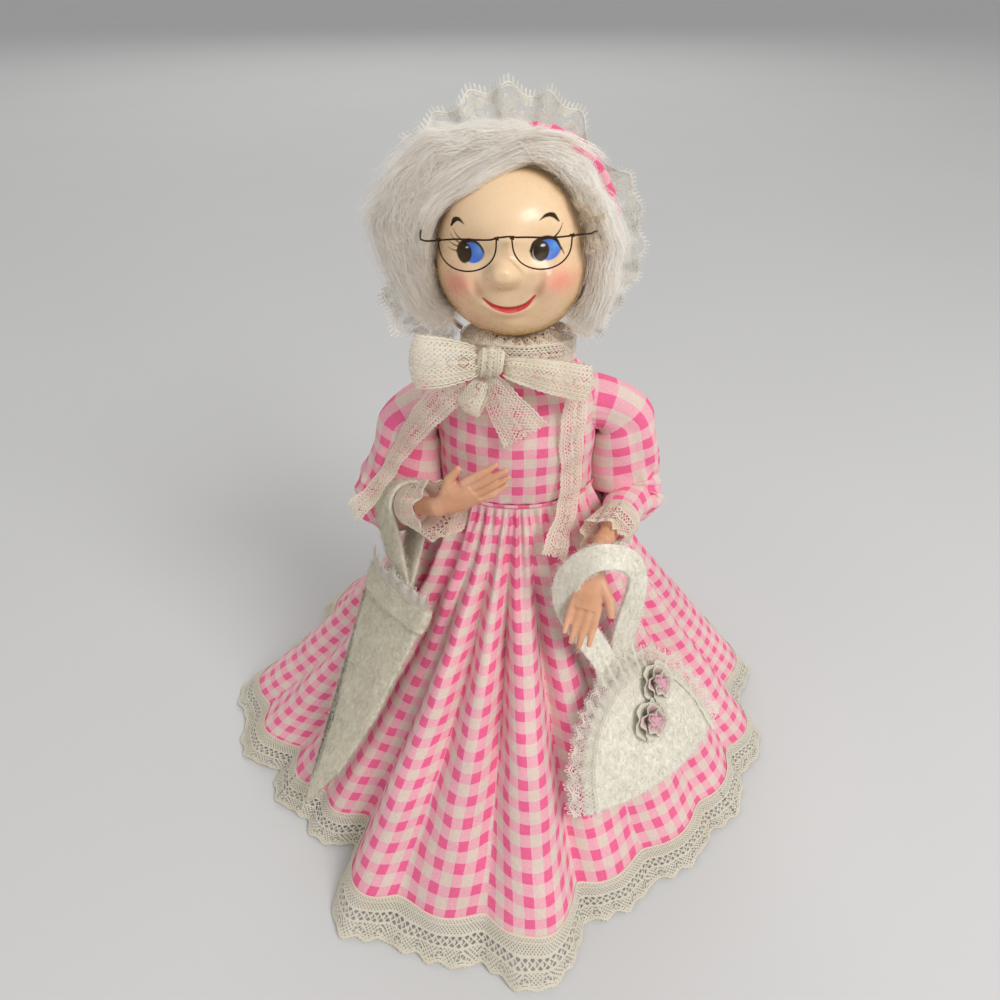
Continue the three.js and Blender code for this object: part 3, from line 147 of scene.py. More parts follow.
def smooth_table(points, at, period=None):
    """Smooth curve through (position, value) pairs, closed on itself where a period is given."""
    a = np.array([p[0] for p in points], float)
    v = np.array([p[1] for p in points], float)
    at = np.asarray(at, float)
    if period:
        at = (at - a[0]) % period + a[0]
        a = np.concatenate([a[-2:] - period, a, a[:2] + period])
        v = np.concatenate([v[-2:], v, v[:2]])
    slope = np.empty_like(v)
    slope[1:-1] = (v[2:] - v[:-2]) / (a[2:] - a[:-2])
    slope[0] = (v[1] - v[0]) / (a[1] - a[0])
    slope[-1] = (v[-1] - v[-2]) / (a[-1] - a[-2])
    i = np.clip(np.searchsorted(a, at, "right") - 1, 0, len(a) - 2)
    run = a[i + 1] - a[i]
    u = (at - a[i]) / run
    keep = v[i] * (2 * u**3 - 3 * u**2 + 1) + v[i + 1] * (3 * u**2 - 2 * u**3)
    return keep + run * (slope[i] * (u**3 - 2 * u**2 + u) + slope[i + 1] * (u**3 - u**2))


def wander(p, size, seed):
    """Smooth random values, about -1 to 1, that vary over a length of size."""
    waves = 8
    r = np.random.default_rng(seed)
    total = 0
    for _ in range(waves):
        way = unit(r.normal(size=3))
        total = total + np.sin(p @ way * (2 * PI / size) * r.uniform(0.6, 1.5) + r.uniform(0, 2 * PI))
    return total / waves**0.5


class Route:
    """Smooth path through points, walked by share of its length."""

    def __init__(self, points, samples=400):
        p = np.array(points, float)
        p = np.concatenate([[2 * p[0] - p[1]], p, [2 * p[-1] - p[-2]]])
        t = np.linspace(0, len(p) - 3, samples)
        i = np.minimum(t.astype(int), len(p) - 4)
        u = (t - i)[:, None]
        a, b, c, d = p[i], p[i + 1], p[i + 2], p[i + 3]
        square, cube = 2 * a - 5 * b + 4 * c - d, 3 * b - a - 3 * c + d
        self.p = 0.5 * (2 * b + (c - a) * u + square * u**2 + cube * u**3)
        step = np.linalg.norm(np.diff(self.p, axis=0), axis=1)
        self.run = np.concatenate([[0], np.cumsum(step)])
        self.length = self.run[-1]

    def at(self, share):
        x = np.clip(share, 0, 1) * self.length
        return np.stack([np.interp(x, self.run, self.p[:, k]) for k in range(3)], axis=-1)

    def along(self, share):
        near = 0.006
        return unit(self.at(share + near) - self.at(share - near))

    def frames(self, share, first):
        """Directions across the path that don't spin about it, as two arrays."""
        fine = np.linspace(0, 1, 240)
        way = self.along(fine)
        side = np.empty_like(way)
        now = np.array(first, float)
        for k, w in enumerate(way):
            now = unit(now - w * (now @ w))
            side[k] = now
        s = np.clip(share, 0, 1)
        one = unit(np.stack([np.interp(s, fine, side[:, k]) for k in range(3)], axis=-1))
        return one, unit(np.cross(self.along(s), one))


# Small tools for meshes

def show_only(obj):
    bpy.ops.object.select_all(action="DESELECT")
    obj.select_set(True)
    bpy.context.view_layer.objects.active = obj


def settle(obj, finish):
    """Gives a finished piece its material and smooth shading."""
    obj.data.materials.clear()
    obj.data.materials.append(finish)
    show_only(obj)
    bpy.ops.object.shade_smooth()
    obj.select_set(False)
    return obj


def apply(obj, kind, **settings):
    show_only(obj)
    mod = obj.modifiers.new(kind.lower(), kind)
    for key, value in settings.items():
        setattr(mod, key, value)
    bpy.ops.object.modifier_apply(modifier=mod.name)


def edit_all(obj, step, **settings):
    """One edit-mode operator on the whole mesh of a piece."""
    show_only(obj)
    bpy.ops.object.mode_set(mode="EDIT")
    bpy.ops.mesh.select_all(action="SELECT")
    step(**settings)
    bpy.ops.object.mode_set(mode="OBJECT")


def close_edges(obj, step):
    """Closes the open edges of a piece with one operator and turns its faces outwards."""
    show_only(obj)
    bpy.ops.object.mode_set(mode="EDIT")
    bpy.ops.mesh.select_mode(type="EDGE")
    bpy.ops.mesh.select_all(action="DESELECT")
    bpy.ops.mesh.select_non_manifold(extend=False)
    step()
    bpy.ops.object.mode_set(mode="OBJECT")
    edit_all(obj, bpy.ops.mesh.normals_make_consistent, inside=False)


def join(first, *others):
    """Joins pieces into the first one."""
    show_only(first)
    for other in others:
        other.select_set(True)
    bpy.ops.object.join()
    return bpy.context.object


def weld(obj, reach=1e-6):
    edit_all(obj, bpy.ops.mesh.remove_doubles, threshold=reach)


def thicken(obj, mm):
    apply(obj, "SOLIDIFY", thickness=mm * MM, offset=-1)


def points_of(mesh):
    co = np.empty(len(mesh.vertices) * 3, np.float32)
    mesh.vertices.foreach_get("co", co)
    return co.reshape(-1, 3).astype(float)


def place_points(mesh, p):
    mesh.vertices.foreach_set("co", (p * MM).astype(np.float32).ravel())
    mesh.update()


def corners_of(mesh):
    """Index of the point at each face corner."""
    corner = np.empty(len(mesh.loops), np.int32)
    mesh.loops.foreach_get("vertex_index", corner)
    return corner


def new_piece(name, p, faces):
    mesh = bpy.data.meshes.new(name)
    mesh.from_pydata((p * MM).tolist(), [], faces.tolist())
    obj = bpy.data.objects.new(name, mesh)
    bpy.context.collection.objects.link(obj)
    return obj


def cloth(name, columns, rows, shape, finish, pattern=None, thick=0.0, closed=False):
    """Cloth cut as a grid and formed by shape(s, t); pattern gives its print in check repeats."""
    bpy.ops.object.select_all(action="DESELECT")
    bpy.ops.mesh.primitive_grid_add(x_subdivisions=columns, y_subdivisions=rows, size=1)
    obj = bpy.context.object
    obj.name = obj.data.name = name
    mesh = obj.data
    flat = points_of(mesh)
    s, t = flat[:, 0] + 0.5, flat[:, 1] + 0.5
    place_points(mesh, shape(s, t))
    if pattern:
        corner = corners_of(mesh)
        middle = np.repeat(s[corner].reshape(-1, 4).mean(1), 4)
        u, v = pattern(s[corner], t[corner], middle)
        mesh.uv_layers[0].data.foreach_set("uv", np.stack([u, v], 1).astype(np.float32).ravel())
    if closed:
        weld(obj)
    if thick:
        thicken(obj, thick)
    return settle(obj, finish)


# Length of one straight run of a thread, along the lace and in its net
CORD_STEP, NET_STEP = 1.2, 1.1
# How far a thread's middle stands up, as a share of its width
THREAD_CROWN = 0.28


class Pattern:
    """Lace drawn flat as threads: u runs along it, v from its foot to its edge."""

    def __init__(self, long):
        self.long, self.lines = long, []

    def thread(self, u, v, width, rise=0.0):
        if len(u) > 1:
            self.lines.append((np.stack([u, v], 1), width, rise))

    def cord(self, height, width, rise=0.12):
        """Thread that runs the whole length; height gives its v."""
        u = np.linspace(0, self.long, round(self.long / CORD_STEP) + 1)
        self.thread(u, height(u) + 0 * u, width, rise)

    def net(self, low, high, pitch, width, keep=None, slope=1.0):
        """Diagonal threads both ways between two rows, left out where keep says so."""
        depth = (high - low) / slope
        for way in (1, -1):
            for start in np.arange(-depth, self.long + depth, pitch):
                v = np.linspace(low, high, max(3, round(depth / NET_STEP) + 1))
                u = start + (v - low if way > 0 else high - v) / slope
                good = (u >= 0) & (u <= self.long)
                if keep is not None:
                    good &= keep(u, v)
                cuts = np.flatnonzero(np.diff(good.astype(int))) + 1
                for run in np.split(np.arange(len(u)), cuts):
                    if good[run[0]]:
                        self.thread(u[run], v[run], width, 0.06 * way)

    def ring(self, u, v, radius, width, steps):
        q = np.linspace(0, 2 * PI, steps + 1)
        self.thread(u + radius * np.cos(q), v + radius * np.sin(q), width, 0.1)

    def leaf(self, u, v, length, half, turn, width, gap):
        """Solid leaf of threads laid side by side, like satin stitch."""
        t = np.linspace(0, 1, 5)
        c, s = math.cos(turn), math.sin(turn)
        for row in np.linspace(-1, 1, max(2, round(2 * half / gap))):
            along = t * length
            side = row * half * np.sin(PI * np.clip(t, 0.04, 0.96)) ** 0.8
            self.thread(u + along * c - side * s, v + along * s + side * c, width, 0.2)

    def loops(self, height, pitch, tall, width, half=0.42):
        """Row of small loops that stand on an edge."""
        q = np.linspace(0, PI, 7)
        for middle in np.arange(pitch / 2, self.long - pitch / 4, pitch):
            foot = float(height(np.array([middle]))[0])
            self.thread(middle + half * pitch * np.cos(q), foot - 0.3 + tall * np.sin(q) ** 0.7, width, 0.05)

    def cover(self):
        """Flat area of the threads in square metres."""
        total = sum(w * np.linalg.norm(np.diff(line, axis=0), axis=1).sum() for line, w, _ in self.lines)
        return float(total) * MM * MM


def lace(name, pattern, place, finish, flip=False):
    """Lays a flat lace pattern in space by place(u, v), each thread rounded up along its middle."""
    left, right, rise, count = [], [], [], []
    for line, width, lift in pattern.lines:
        way = np.gradient(line, axis=0)
        way = way / np.maximum(np.linalg.norm(way, axis=1, keepdims=True), 1e-9)
        off = np.stack([-way[:, 1], way[:, 0]], 1) * width / 2
        left.append(line + off)
        right.append(line - off)
        rise.append(np.full(len(line), lift + THREAD_CROWN * width))
        count.append(len(line))
    left, right, rise = np.concatenate(left), np.concatenate(right), np.concatenate(rise)
    middle = (left + right) / 2
    u, v = middle.T
    near = 0.15
    centre = place(u, v)
    out = np.cross(place(u + near, v) - centre, place(u, v + near) - centre)
    out = out / np.maximum(np.linalg.norm(out, axis=1, keepdims=True), 1e-12) * (-1 if flip else 1)
    side, crown = (out * q[:, None] for q in (np.minimum(rise - THREAD_CROWN / 2, 0.2), rise + 0.1))
    p = np.stack([place(*left.T) + side, centre + crown, place(*right.T) + side], axis=1)
    first = np.concatenate([[0], np.cumsum(count)[:-1]])
    base = np.concatenate([np.arange(f, f + n - 1) for f, n in zip(first, count)]) * 3
    quads = np.concatenate([np.stack([b, b + 1, b + 4, b + 3], 1) for b in (base, base + 1)])
    if not flip:
        quads = quads[:, ::-1]
    obj = new_piece(name, p.reshape(-1, 3), quads)
    flat = np.stack([left, middle, right], axis=1).reshape(-1, 2)[corners_of(obj.data)]
    obj.data.uv_layers.new(name="UVMap").data.foreach_set("uv", (flat / 10).astype(np.float32).ravel())
    return settle(obj, finish)


def hairs(name, lines, widths, finish, out=None):
    """Fine hairs as flat strips that face out: lines is (count, points, 3) and widths is per point."""
    count, points, _ = lines.shape
    r = np.random.default_rng(len(name) + count)
    way = unit(np.gradient(lines, axis=1))
    face = unit(r.normal(size=(count, 1, 3)))
    side = unit(np.cross(way, face if out is None else unit(out + 0.3 * face)))
    w = np.asarray(widths)[None, :, None] / 2
    both = np.stack([lines - side * w, lines + side * w], axis=2).reshape(-1, 3)
    base = (np.arange(count)[:, None] * points + np.arange(points - 1)[None, :]).ravel() * 2
    faces = np.stack([base, base + 1, base + 3, base + 2], 1)
    return settle(new_piece(name, both, faces), finish)


# Length of the felt's loose fibres
FIBRE_LENGTH = 2.8


def fuzz(name, source, body, count, width, finish, seed, droop):
    """Short loose fibres that stand off the face of a felt piece and move with it."""
    mesh = source.data
    mesh.calc_loop_triangles()
    p = points_of(mesh) / MM
    tri = np.array([t.vertices[:] for t in mesh.loop_triangles])
    a, b, c = p[tri[:, 0]], p[tri[:, 1]], p[tri[:, 2]]
    normal = np.cross(b - a, c - a)
    size = np.linalg.norm(normal, axis=1)
    r = np.random.default_rng(seed)
    pick = r.choice(len(tri), count, p=size / size.sum())
    x, y = r.random((2, count))
    over = x + y > 1
    x[over], y[over] = 1 - x[over], 1 - y[over]
    root = a[pick] + (b - a)[pick] * x[:, None] + (c - a)[pick] * y[:, None]
    up = unit(normal[pick] / np.maximum(size[pick], 1e-9)[:, None])
    lay = unit(np.cross(up, r.normal(size=(count, 3))))
    far = FIBRE_LENGTH * r.uniform(0.5, 1.3, (count, 1))
    t = np.linspace(0, 1, 4)[None, :, None]
    rise = up[:, None] * (t * droop * far[:, None])
    lines = root[:, None] + rise + lay[:, None] * (t * far[:, None]) * (0.6 + 0.4 * t)
    bend = np.sin(t * 2.5) * far[:, None] * r.normal(0, 0.25, (count, 1, 1))
    curl = unit(np.cross(lay, up))[:, None] * bend
    wear(hairs(name, lines + curl, [width, width, width, width * 0.4], finish), body, "white_felt")


def trim(name, pattern, wide, place, finish, body, nodes, flip=False):
    """A lace piece that is laid in place and moves with a body, and its thread area is worked out."""
    piece = lace(name, pattern, place, finish, flip)
    wear(piece, body, "cream_lace", *nodes)
    lace_sheet(pattern, wide)


def lace_sheet(pattern, wide):
    """Works out a lace piece's cut as the area of its threads; nothing is done with the result."""
    whole = pattern.long * wide * MM * MM
    area = min(0.98 * whole, max(0.32 * whole, pattern.cover()))


def wear(obj, body, slot, *nodes):
    """A piece moves with a body and stands for CAD nodes, which are hidden; slot is not used."""
    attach(obj, body)
    if nodes:
        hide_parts(*nodes)


# Finishes

def shade(r, g, b):
    def linear(c):
        c /= 255
        return c / 12.92 if c <= 0.04045 else ((c + 0.055) / 1.055) ** 2.4
    return (linear(r), linear(g), linear(b), 1.0)


class Finish:
    """A material built node by node."""

    def __init__(self, name, **sockets):
        self.material = bpy.data.materials.new(name)
        self.material.use_nodes = True
        self.nodes = self.material.node_tree.nodes
        self.links = self.material.node_tree.links
        self.shader = self.nodes["Principled BSDF"]
        for key, value in sockets.items():
            self.shader.inputs[key.replace("_", " ")].default_value = value
        where = self.nodes.new("ShaderNodeTexCoord")
        self.place, self.print = where.outputs["Object"], where.outputs["UV"]

    def feed(self, socket, value):
        if isinstance(value, bpy.types.NodeSocket):
            self.links.new(value, socket)
        elif value is not None:
            socket.default_value = value

    def math(self, how, a, b=None):
        node = self.nodes.new("ShaderNodeMath")
        node.operation = how
        for socket, value in zip(node.inputs, (a, b)):
            self.feed(socket, value)
        return node.outputs[0]

    def mix(self, share, a, b, how="MIX"):
        node = self.nodes.new("ShaderNodeMix")
        node.data_type, node.blend_type = "RGBA", how
        for index, value in ((0, share), (6, a), (7, b)):
            self.feed(node.inputs[index], value)
        return node.outputs[2]

    def noise(self, scale, detail=3.0, stretch=None):
        node = self.nodes.new("ShaderNodeTexNoise")
        coords = self.place
        if stretch:
            turn = self.nodes.new("ShaderNodeMapping")
            turn.inputs["Scale"].default_value = stretch
            self.links.new(coords, turn.inputs["Vector"])
            coords = turn.outputs["Vector"]
        self.links.new(coords, node.inputs["Vector"])
        node.inputs["Scale"].default_value = scale
        node.inputs["Detail"].default_value = detail
        return node.outputs[0]

    def spread(self, value, low, high, to_low=0.0, to_high=1.0):
        node = self.nodes.new("ShaderNodeMapRange")
        for socket, number in zip(node.inputs, (value, low, high, to_low, to_high)):
            self.feed(socket, number)
        return node.outputs[0]

    def split(self, coords):
        node = self.nodes.new("ShaderNodeSeparateXYZ")
        self.links.new(coords, node.inputs[0])
        return node.outputs

    def colour(self, value):
        self.feed(self.shader.inputs["Base Color"], value)

    def tones(self, noise, dark, light):
        """Two tones mixed by the middle of a noise."""
        return self.mix(self.spread(noise, 0.3, 0.7), dark, light)

    def rough(self, noise, low, high):
        """Roughness between two values, by the middle of a noise."""
        self.feed(self.shader.inputs["Roughness"], self.spread(noise, 0.3, 0.7, low, high))

    def bump(self, height, depth_mm, strength):
        node = self.nodes.new("ShaderNodeBump")
        node.inputs["Strength"].default_value = strength
        node.inputs["Distance"].default_value = depth_mm * MM
        self.links.new(height, node.inputs["Height"])
        self.links.new(node.outputs[0], self.shader.inputs["Normal"])

    def let_through(self, tone, share):
        """Light passes through thin fibres."""
        through = self.nodes.new("ShaderNodeBsdfTranslucent")
        self.feed(through.inputs["Color"], tone)
        both = self.nodes.new("ShaderNodeMixShader")
        both.inputs[0].default_value = share
        self.links.new(self.shader.outputs[0], both.inputs[1])
        self.links.new(through.outputs[0], both.inputs[2])
        self.links.new(both.outputs[0], self.nodes["Material Output"].inputs["Surface"])


# Share of a repeat that is stripe, and the cotton's threads in one repeat
STRIPE_SHARE, THREADS_PER_REPEAT = 0.47, 26


def gingham_finish():
    f = Finish("pink_gingham", Sheen_Weight=0.12, Specular_IOR_Level=0.15)
    x, y, _ = f.split(f.print)
    sway = f.math("MULTIPLY", f.math("SUBTRACT", f.noise(110), 0.5), 0.1)
    threads = f.math("ADD", x, sway), f.math("SUBTRACT", y, sway)
    warp, weft = (f.math("LESS_THAN", f.math("FRACT", q), STRIPE_SHARE) for q in threads)
    either, both = f.math("MAXIMUM", warp, weft), f.math("MULTIPLY", warp, weft)
    ribs = (f.math("SINE", f.math("MULTIPLY", q, 2 * PI * THREADS_PER_REPEAT)) for q in threads)
    weave = f.math("MULTIPLY", *ribs)
    speck = f.math("MULTIPLY", f.noise(1500, 1), f.spread(weave, -1, 1, 0.5, 1.0))
    middle = f.mix(f.spread(speck, 0.2, 0.65), shade(243, 160, 176), shade(249, 199, 204))
    ground = f.mix(f.noise(700, 1), shade(221, 195, 181), shade(241, 219, 206))
    deep = f.mix(f.noise(900, 1), shade(240, 88, 138), shade(248, 122, 162))
    checks = f.mix(both, f.mix(either, ground, middle), deep)
    wash = f.spread(f.noise(14, 4), 0.3, 0.7, 0.87, 1.0)
    grey = f.nodes.new("ShaderNodeCombineColor")
    for socket in grey.inputs:
        f.feed(socket, wash)
    f.colour(f.mix(1.0, checks, grey.outputs[0], "MULTIPLY"))
    f.rough(f.noise(300), 0.8, 0.95)
    f.bump(f.math("ADD", f.math("MULTIPLY", weave, 0.3), f.noise(160, 4)), 0.5, 0.35)
    return f.material


def thread_finish(name, light, dark, soil):
    """Cotton lace thread: yellowed in places, with twisted fibres."""
    f = Finish(name, Sheen_Weight=0.1, Specular_IOR_Level=0.15)
    fibre = f.noise(2200, 2)
    tone = f.mix(f.spread(f.noise(26, 3), 0.45, 0.75, 0.0, 0.4), f.tones(fibre, dark, light), soil)
    f.colour(tone)
    f.feed(f.shader.inputs["Roughness"], f.spread(fibre, 0.2, 0.8, 0.82, 0.96))
    f.bump(f.math("ADD", f.noise(1300, 2), f.math("MULTIPLY", fibre, 0.6)), 0.35, 0.5)
    f.let_through(tone, 0.38)
    return f.material


def felt_finish(name, deep, light, stain):
    f = Finish(name, Sheen_Weight=0.25, Specular_IOR_Level=0.1)
    strands = f.noise(420, 6, stretch=(1.0, 1.0, 0.35))
    clouds = f.noise(60, 4)
    f.colour(f.mix(f.spread(clouds, 0.35, 0.7, 0.0, 0.3), f.tones(strands, deep, light), stain))
    f.rough(strands, 0.9, 1.0)
    f.bump(f.math("ADD", strands, f.math("MULTIPLY", f.noise(1400, 3), 0.5)), 0.8, 0.6)
    return f.material


def felt_fibre_finish(name, deep, light):
    f = Finish(name, Sheen_Weight=0.3, Specular_IOR_Level=0.1, Roughness=0.95)
    f.colour(f.mix(f.noise(300), deep, light))
    return f.material


def mohair_finish(name, dark, light):
    f = Finish(name, Sheen_Weight=0.4, Specular_IOR_Level=0.25)
    tone = f.mix(f.spread(f.noise(140, 3), 0.32, 0.66), dark, light)
    f.colour(tone)
    f.rough(f.noise(500), 0.55, 0.8)
    f.let_through(tone, 0.5)
    return f.material


def face_finish():
    f = Finish("painted_mask", Coat_Roughness=0.16)
    # The face's colour attribute holds its paint together with painted shade and painted highlights
    paint_and_shading = f.nodes.new("ShaderNodeAttribute")
    paint_and_shading.attribute_name = "paint_and_shading"
    # The dark paint of the eyes and brows is duller than the skin
    f.feed(f.shader.inputs["Coat Weight"], f.math("MULTIPLY", paint_and_shading.outputs["Alpha"], 0.16))
    f.feed(f.shader.inputs["Specular IOR Level"], f.math("MULTIPLY", paint_and_shading.outputs["Alpha"], 0.36))
    fade = f.spread(f.noise(90, 4), 0.3, 0.7, 0.0, 0.12)
    f.colour(f.mix(fade, paint_and_shading.outputs["Color"], shade(214, 176, 128)))
    f.feed(f.shader.inputs["Roughness"], f.spread(f.noise(260, 4), 0.3, 0.75, 0.24, 0.36))
    f.bump(f.noise(500, 4), 0.12, 0.1)
    return f.material


def hand_finish():
    f = Finish("moulded_hand", Specular_IOR_Level=0.4, Subsurface_Weight=0.08, Subsurface_Scale=0.004)
    f.colour(f.tones(f.noise(70, 3), shade(208, 150, 114), shade(226, 174, 140)))
    f.rough(f.noise(320, 3), 0.36, 0.5)
    f.bump(f.noise(700, 3), 0.1, 0.2)
    return f.material


def plain_finish(name, dark, light, scale, rough, depth, stretch=None, **sockets):
    f = Finish(name, **sockets)
    grain = f.noise(scale, 5, stretch=stretch)
    f.colour(f.tones(grain, dark, light))
    f.rough(f.noise(scale * 2.5), *rough)
    f.bump(grain, depth, 0.4)
    return f.material


GINGHAM = gingham_finish()
LACE = thread_finish("cream_lace", shade(252, 247, 233), shade(240, 231, 211), shade(240, 226, 194))
PICOT = thread_finish("ivory_picot_lace", shade(252, 249, 240), shade(240, 235, 222), shade(240, 232, 210))
PINK_THREAD = thread_finish(
    "pink_rosette_lace", shade(254, 212, 224), shade(248, 176, 200), shade(252, 224, 230))
FELT = felt_finish("white_felt", shade(224, 218, 201), shade(246, 242, 231), shade(224, 214, 193))
FELT_FIBRE = felt_fibre_finish("white_felt_fibre", shade(218, 211, 192), shade(245, 241, 230))
# Darker, beiger copy of the white felt and its fibres, used on the parasol and its strap
DARKER_FELT = felt_finish("darker_beige_felt", shade(198, 190, 168), shade(226, 219, 200), shade(198, 187, 161))
DARKER_FIBRE = felt_fibre_finish("darker_beige_felt_fibre", shade(194, 186, 163), shade(226, 219, 201))
WIG_BASE = mohair_finish("mohair_base", shade(246, 241, 233), shade(253, 250, 244))
MOHAIR = mohair_finish("mohair_strands", shade(250, 245, 237), shade(255, 252, 247))
# Brownish mohair for the tangled curl: partly yellowed glue, partly painted shade inside the tangle
TANGLE_GLUE_AND_SHADE = mohair_finish("mohair_tangle_glue_and_shade", shade(214, 194, 168), shade(238, 228, 212))
FACE = face_finish()
HAND = hand_finish()
STITCH = thread_finish("sewing_thread", shade(240, 236, 222), shade(214, 206, 186), shade(222, 212, 190))
SPECTACLE = plain_finish(
    "bronze_wire", shade(38, 26, 18), shade(74, 52, 36), 400, (0.3, 0.5), 0.05, Metallic=0.85)
WADDING = plain_finish("cotton_wadding", shade(198, 176, 138), shade(222, 204, 168), 120, (0.85, 1.0), 0.8)


# Camera and light, where the photograph was taken from

CAMERA_AT = (-0.010, -0.406, 0.476)
CAMERA_DOWN = 35.5
LENS, SENSOR = 28.8, 36.0
# Name, place, size in metres and watts of each lamp
LAMPS = [
    ("window", (0.9, -1.0, 1.5), 0.8, 22.3),
    ("fill", (-1.2, -0.9, 1.0), 1.2, 2),
    ("back", (-0.3, 3.2, 2.6), 3.0, 36),
]
LAMP_TARGET = Vector((0, 0, 0.18))


def look_from():
    data = bpy.data.cameras.new("camera")
    data.lens, data.sensor_width, data.sensor_height = LENS, SENSOR, SENSOR
    data.clip_start, data.clip_end = 0.01, 100.0
    camera = bpy.data.objects.new("camera", data)
    camera.location = CAMERA_AT
    camera.rotation_euler = (math.radians(90 - CAMERA_DOWN), 0, 0)
    bpy.context.collection.objects.link(camera)
    bpy.context.scene.camera = camera


def studio():
    bpy.ops.mesh.primitive_plane_add(size=60, location=(0, 0, 0))
    floor = bpy.context.object
    floor.name = "floor"
    f = Finish("pale_floor", Roughness=0.9, Specular_IOR_Level=0.1)
    f.colour(f.mix(f.noise(3, 2), shade(204, 203, 201), shade(208, 207, 205)))
    floor.data.materials.append(f.material)
    floor.select_set(False)
    world = bpy.data.worlds.new("studio")
    world.use_nodes = True
    sky = world.node_tree.nodes["Background"].inputs
    sky["Color"].default_value = (0.97, 0.98, 1.0, 1)
    sky["Strength"].default_value = 0.5
    bpy.context.scene.world = world
    for name, at, size, watts in LAMPS:
        light = bpy.data.lights.new(name, "AREA")
        light.size, light.energy = size, watts
        lamp = bpy.data.objects.new(name, light)
        lamp.location = at
        lamp.rotation_euler = (LAMP_TARGET - Vector(at)).to_track_quat("-Z", "Y").to_euler()
        bpy.context.collection.objects.link(lamp)


look_from()
studio()
bpy.context.scene.view_settings.view_transform = "Standard"


# Skirt: wide panels between deep narrow folds, gathered at the waist

# Azimuth of each deep fold at the hem, its depth, half width in degrees and share of depth at the hem
DEEP_FOLDS = [
    (-155, 14, 6, 0.8), (-135, 11, 6, 0.8), (-114, 13, 5.5, 0.8), (-101, 16, 5, 0.8), (-84, 14, 5, 0.8),
    (-69, 20, 4.5, 0.9), (-54, 10, 4.5, 0.8), (-40, 16, 4, 0.9), (-24, 16, 4, 0.35), (-6, 20, 3.6, 0.25),
    (13, 22, 4, 0.8), (30, 8, 5, 0.6), (50, 8, 5, 0.6), (68, 12, 5, 0.8), (88, 14, 5.5, 0.8),
    (107, 12, 6, 0.8), (125, 14, 6, 0.8), (145, 11, 6, 0.8), (165, 14, 6, 0.8), (185, 11, 6, 0.8),
]
# How far folds lean towards the front at the waist, by azimuth at the hem
FOLD_LEAN = [
    (-150, 0), (-110, 4), (-69, 9), (-40, 9), (-24, 6), (-6, 1), (13, -3), (30, -4), (56, -6), (98, -4),
    (150, 0),
]


def skirt_radius(drop, azimuth):
    angle = np.radians(azimuth)
    waist = np.hypot(WAIST_HALF[0] * np.sin(angle), WAIST_HALF[1] * np.cos(angle))
    flare = 0.3 * (0.5 - 0.5 * np.sin(angle))
    share = (1 - flare) * drop + flare * drop**2
    return lerp(waist, HEM_RADIUS + smooth_table(HEM_FOLDS, azimuth, 360), share)


def skirt_point(drop, column, proud=0.0):
    """Point of the skirt; column is the azimuth of that line of cloth at the hem."""
    drop, column = np.broadcast_arrays(np.asarray(drop, float), np.asarray(column, float))
    azimuth = column + (1 - drop) * smooth_table(FOLD_LEAN, column, 360)
    radius = skirt_radius(drop, azimuth) + proud
    for at, depth, half, kept in DEEP_FOLDS:
        away = np.abs((column - at + 180) % 360 - 180) / half
        fall = ease(drop / 0.45) * (1 - (1 - kept) * ease((drop - 0.5) / 0.5))
        radius = radius - depth * fall * np.exp(-away**1.5)
    turn = np.radians(column)
    near = np.exp(-(drop / 0.2) ** 2)
    gather = 0.6 * np.cos(46 * turn + 1.1 * np.sin(7 * turn)) + 0.4 * np.cos(29 * turn + 2 * np.sin(3 * turn))
    radius = radius + 1.9 * near * (gather - 1) * ease(drop / 0.03)
    pleat = np.cos(23 * turn + 1.7 * np.sin(4 * turn + 1))
    radius = radius + 2.0 * (pleat - 1) * ease(drop / 0.12) * np.exp(-(drop / 0.5) ** 2)
    angle = np.radians(azimuth)
    p = around(radius, radius, angle, lerp(SKIRT_TOP, HEM_Z, drop))
    creases = 0.8 * (wander(p, 34, 5) - 1.2) * ease(drop / 0.1)
    return p + around(creases, creases, angle, 0.0)


FRONT_SLANT = math.hypot(SKIRT_TOP, HEM_RADIUS + float(smooth_table(HEM_FOLDS, 0, 360)) - WAIST_HALF[1])
LACE_START = 1 - HEM_LACE / FRONT_SLANT
HEM_RUN_AT = np.linspace(-180, 180, 2881)
HEM_STEPS = np.linalg.norm(np.diff(skirt_point(LACE_START, HEM_RUN_AT), axis=0), axis=1)
HEM_RUN = np.concatenate([[0], np.cumsum(HEM_STEPS)])
HEM_LENGTH = float(HEM_RUN[-1])


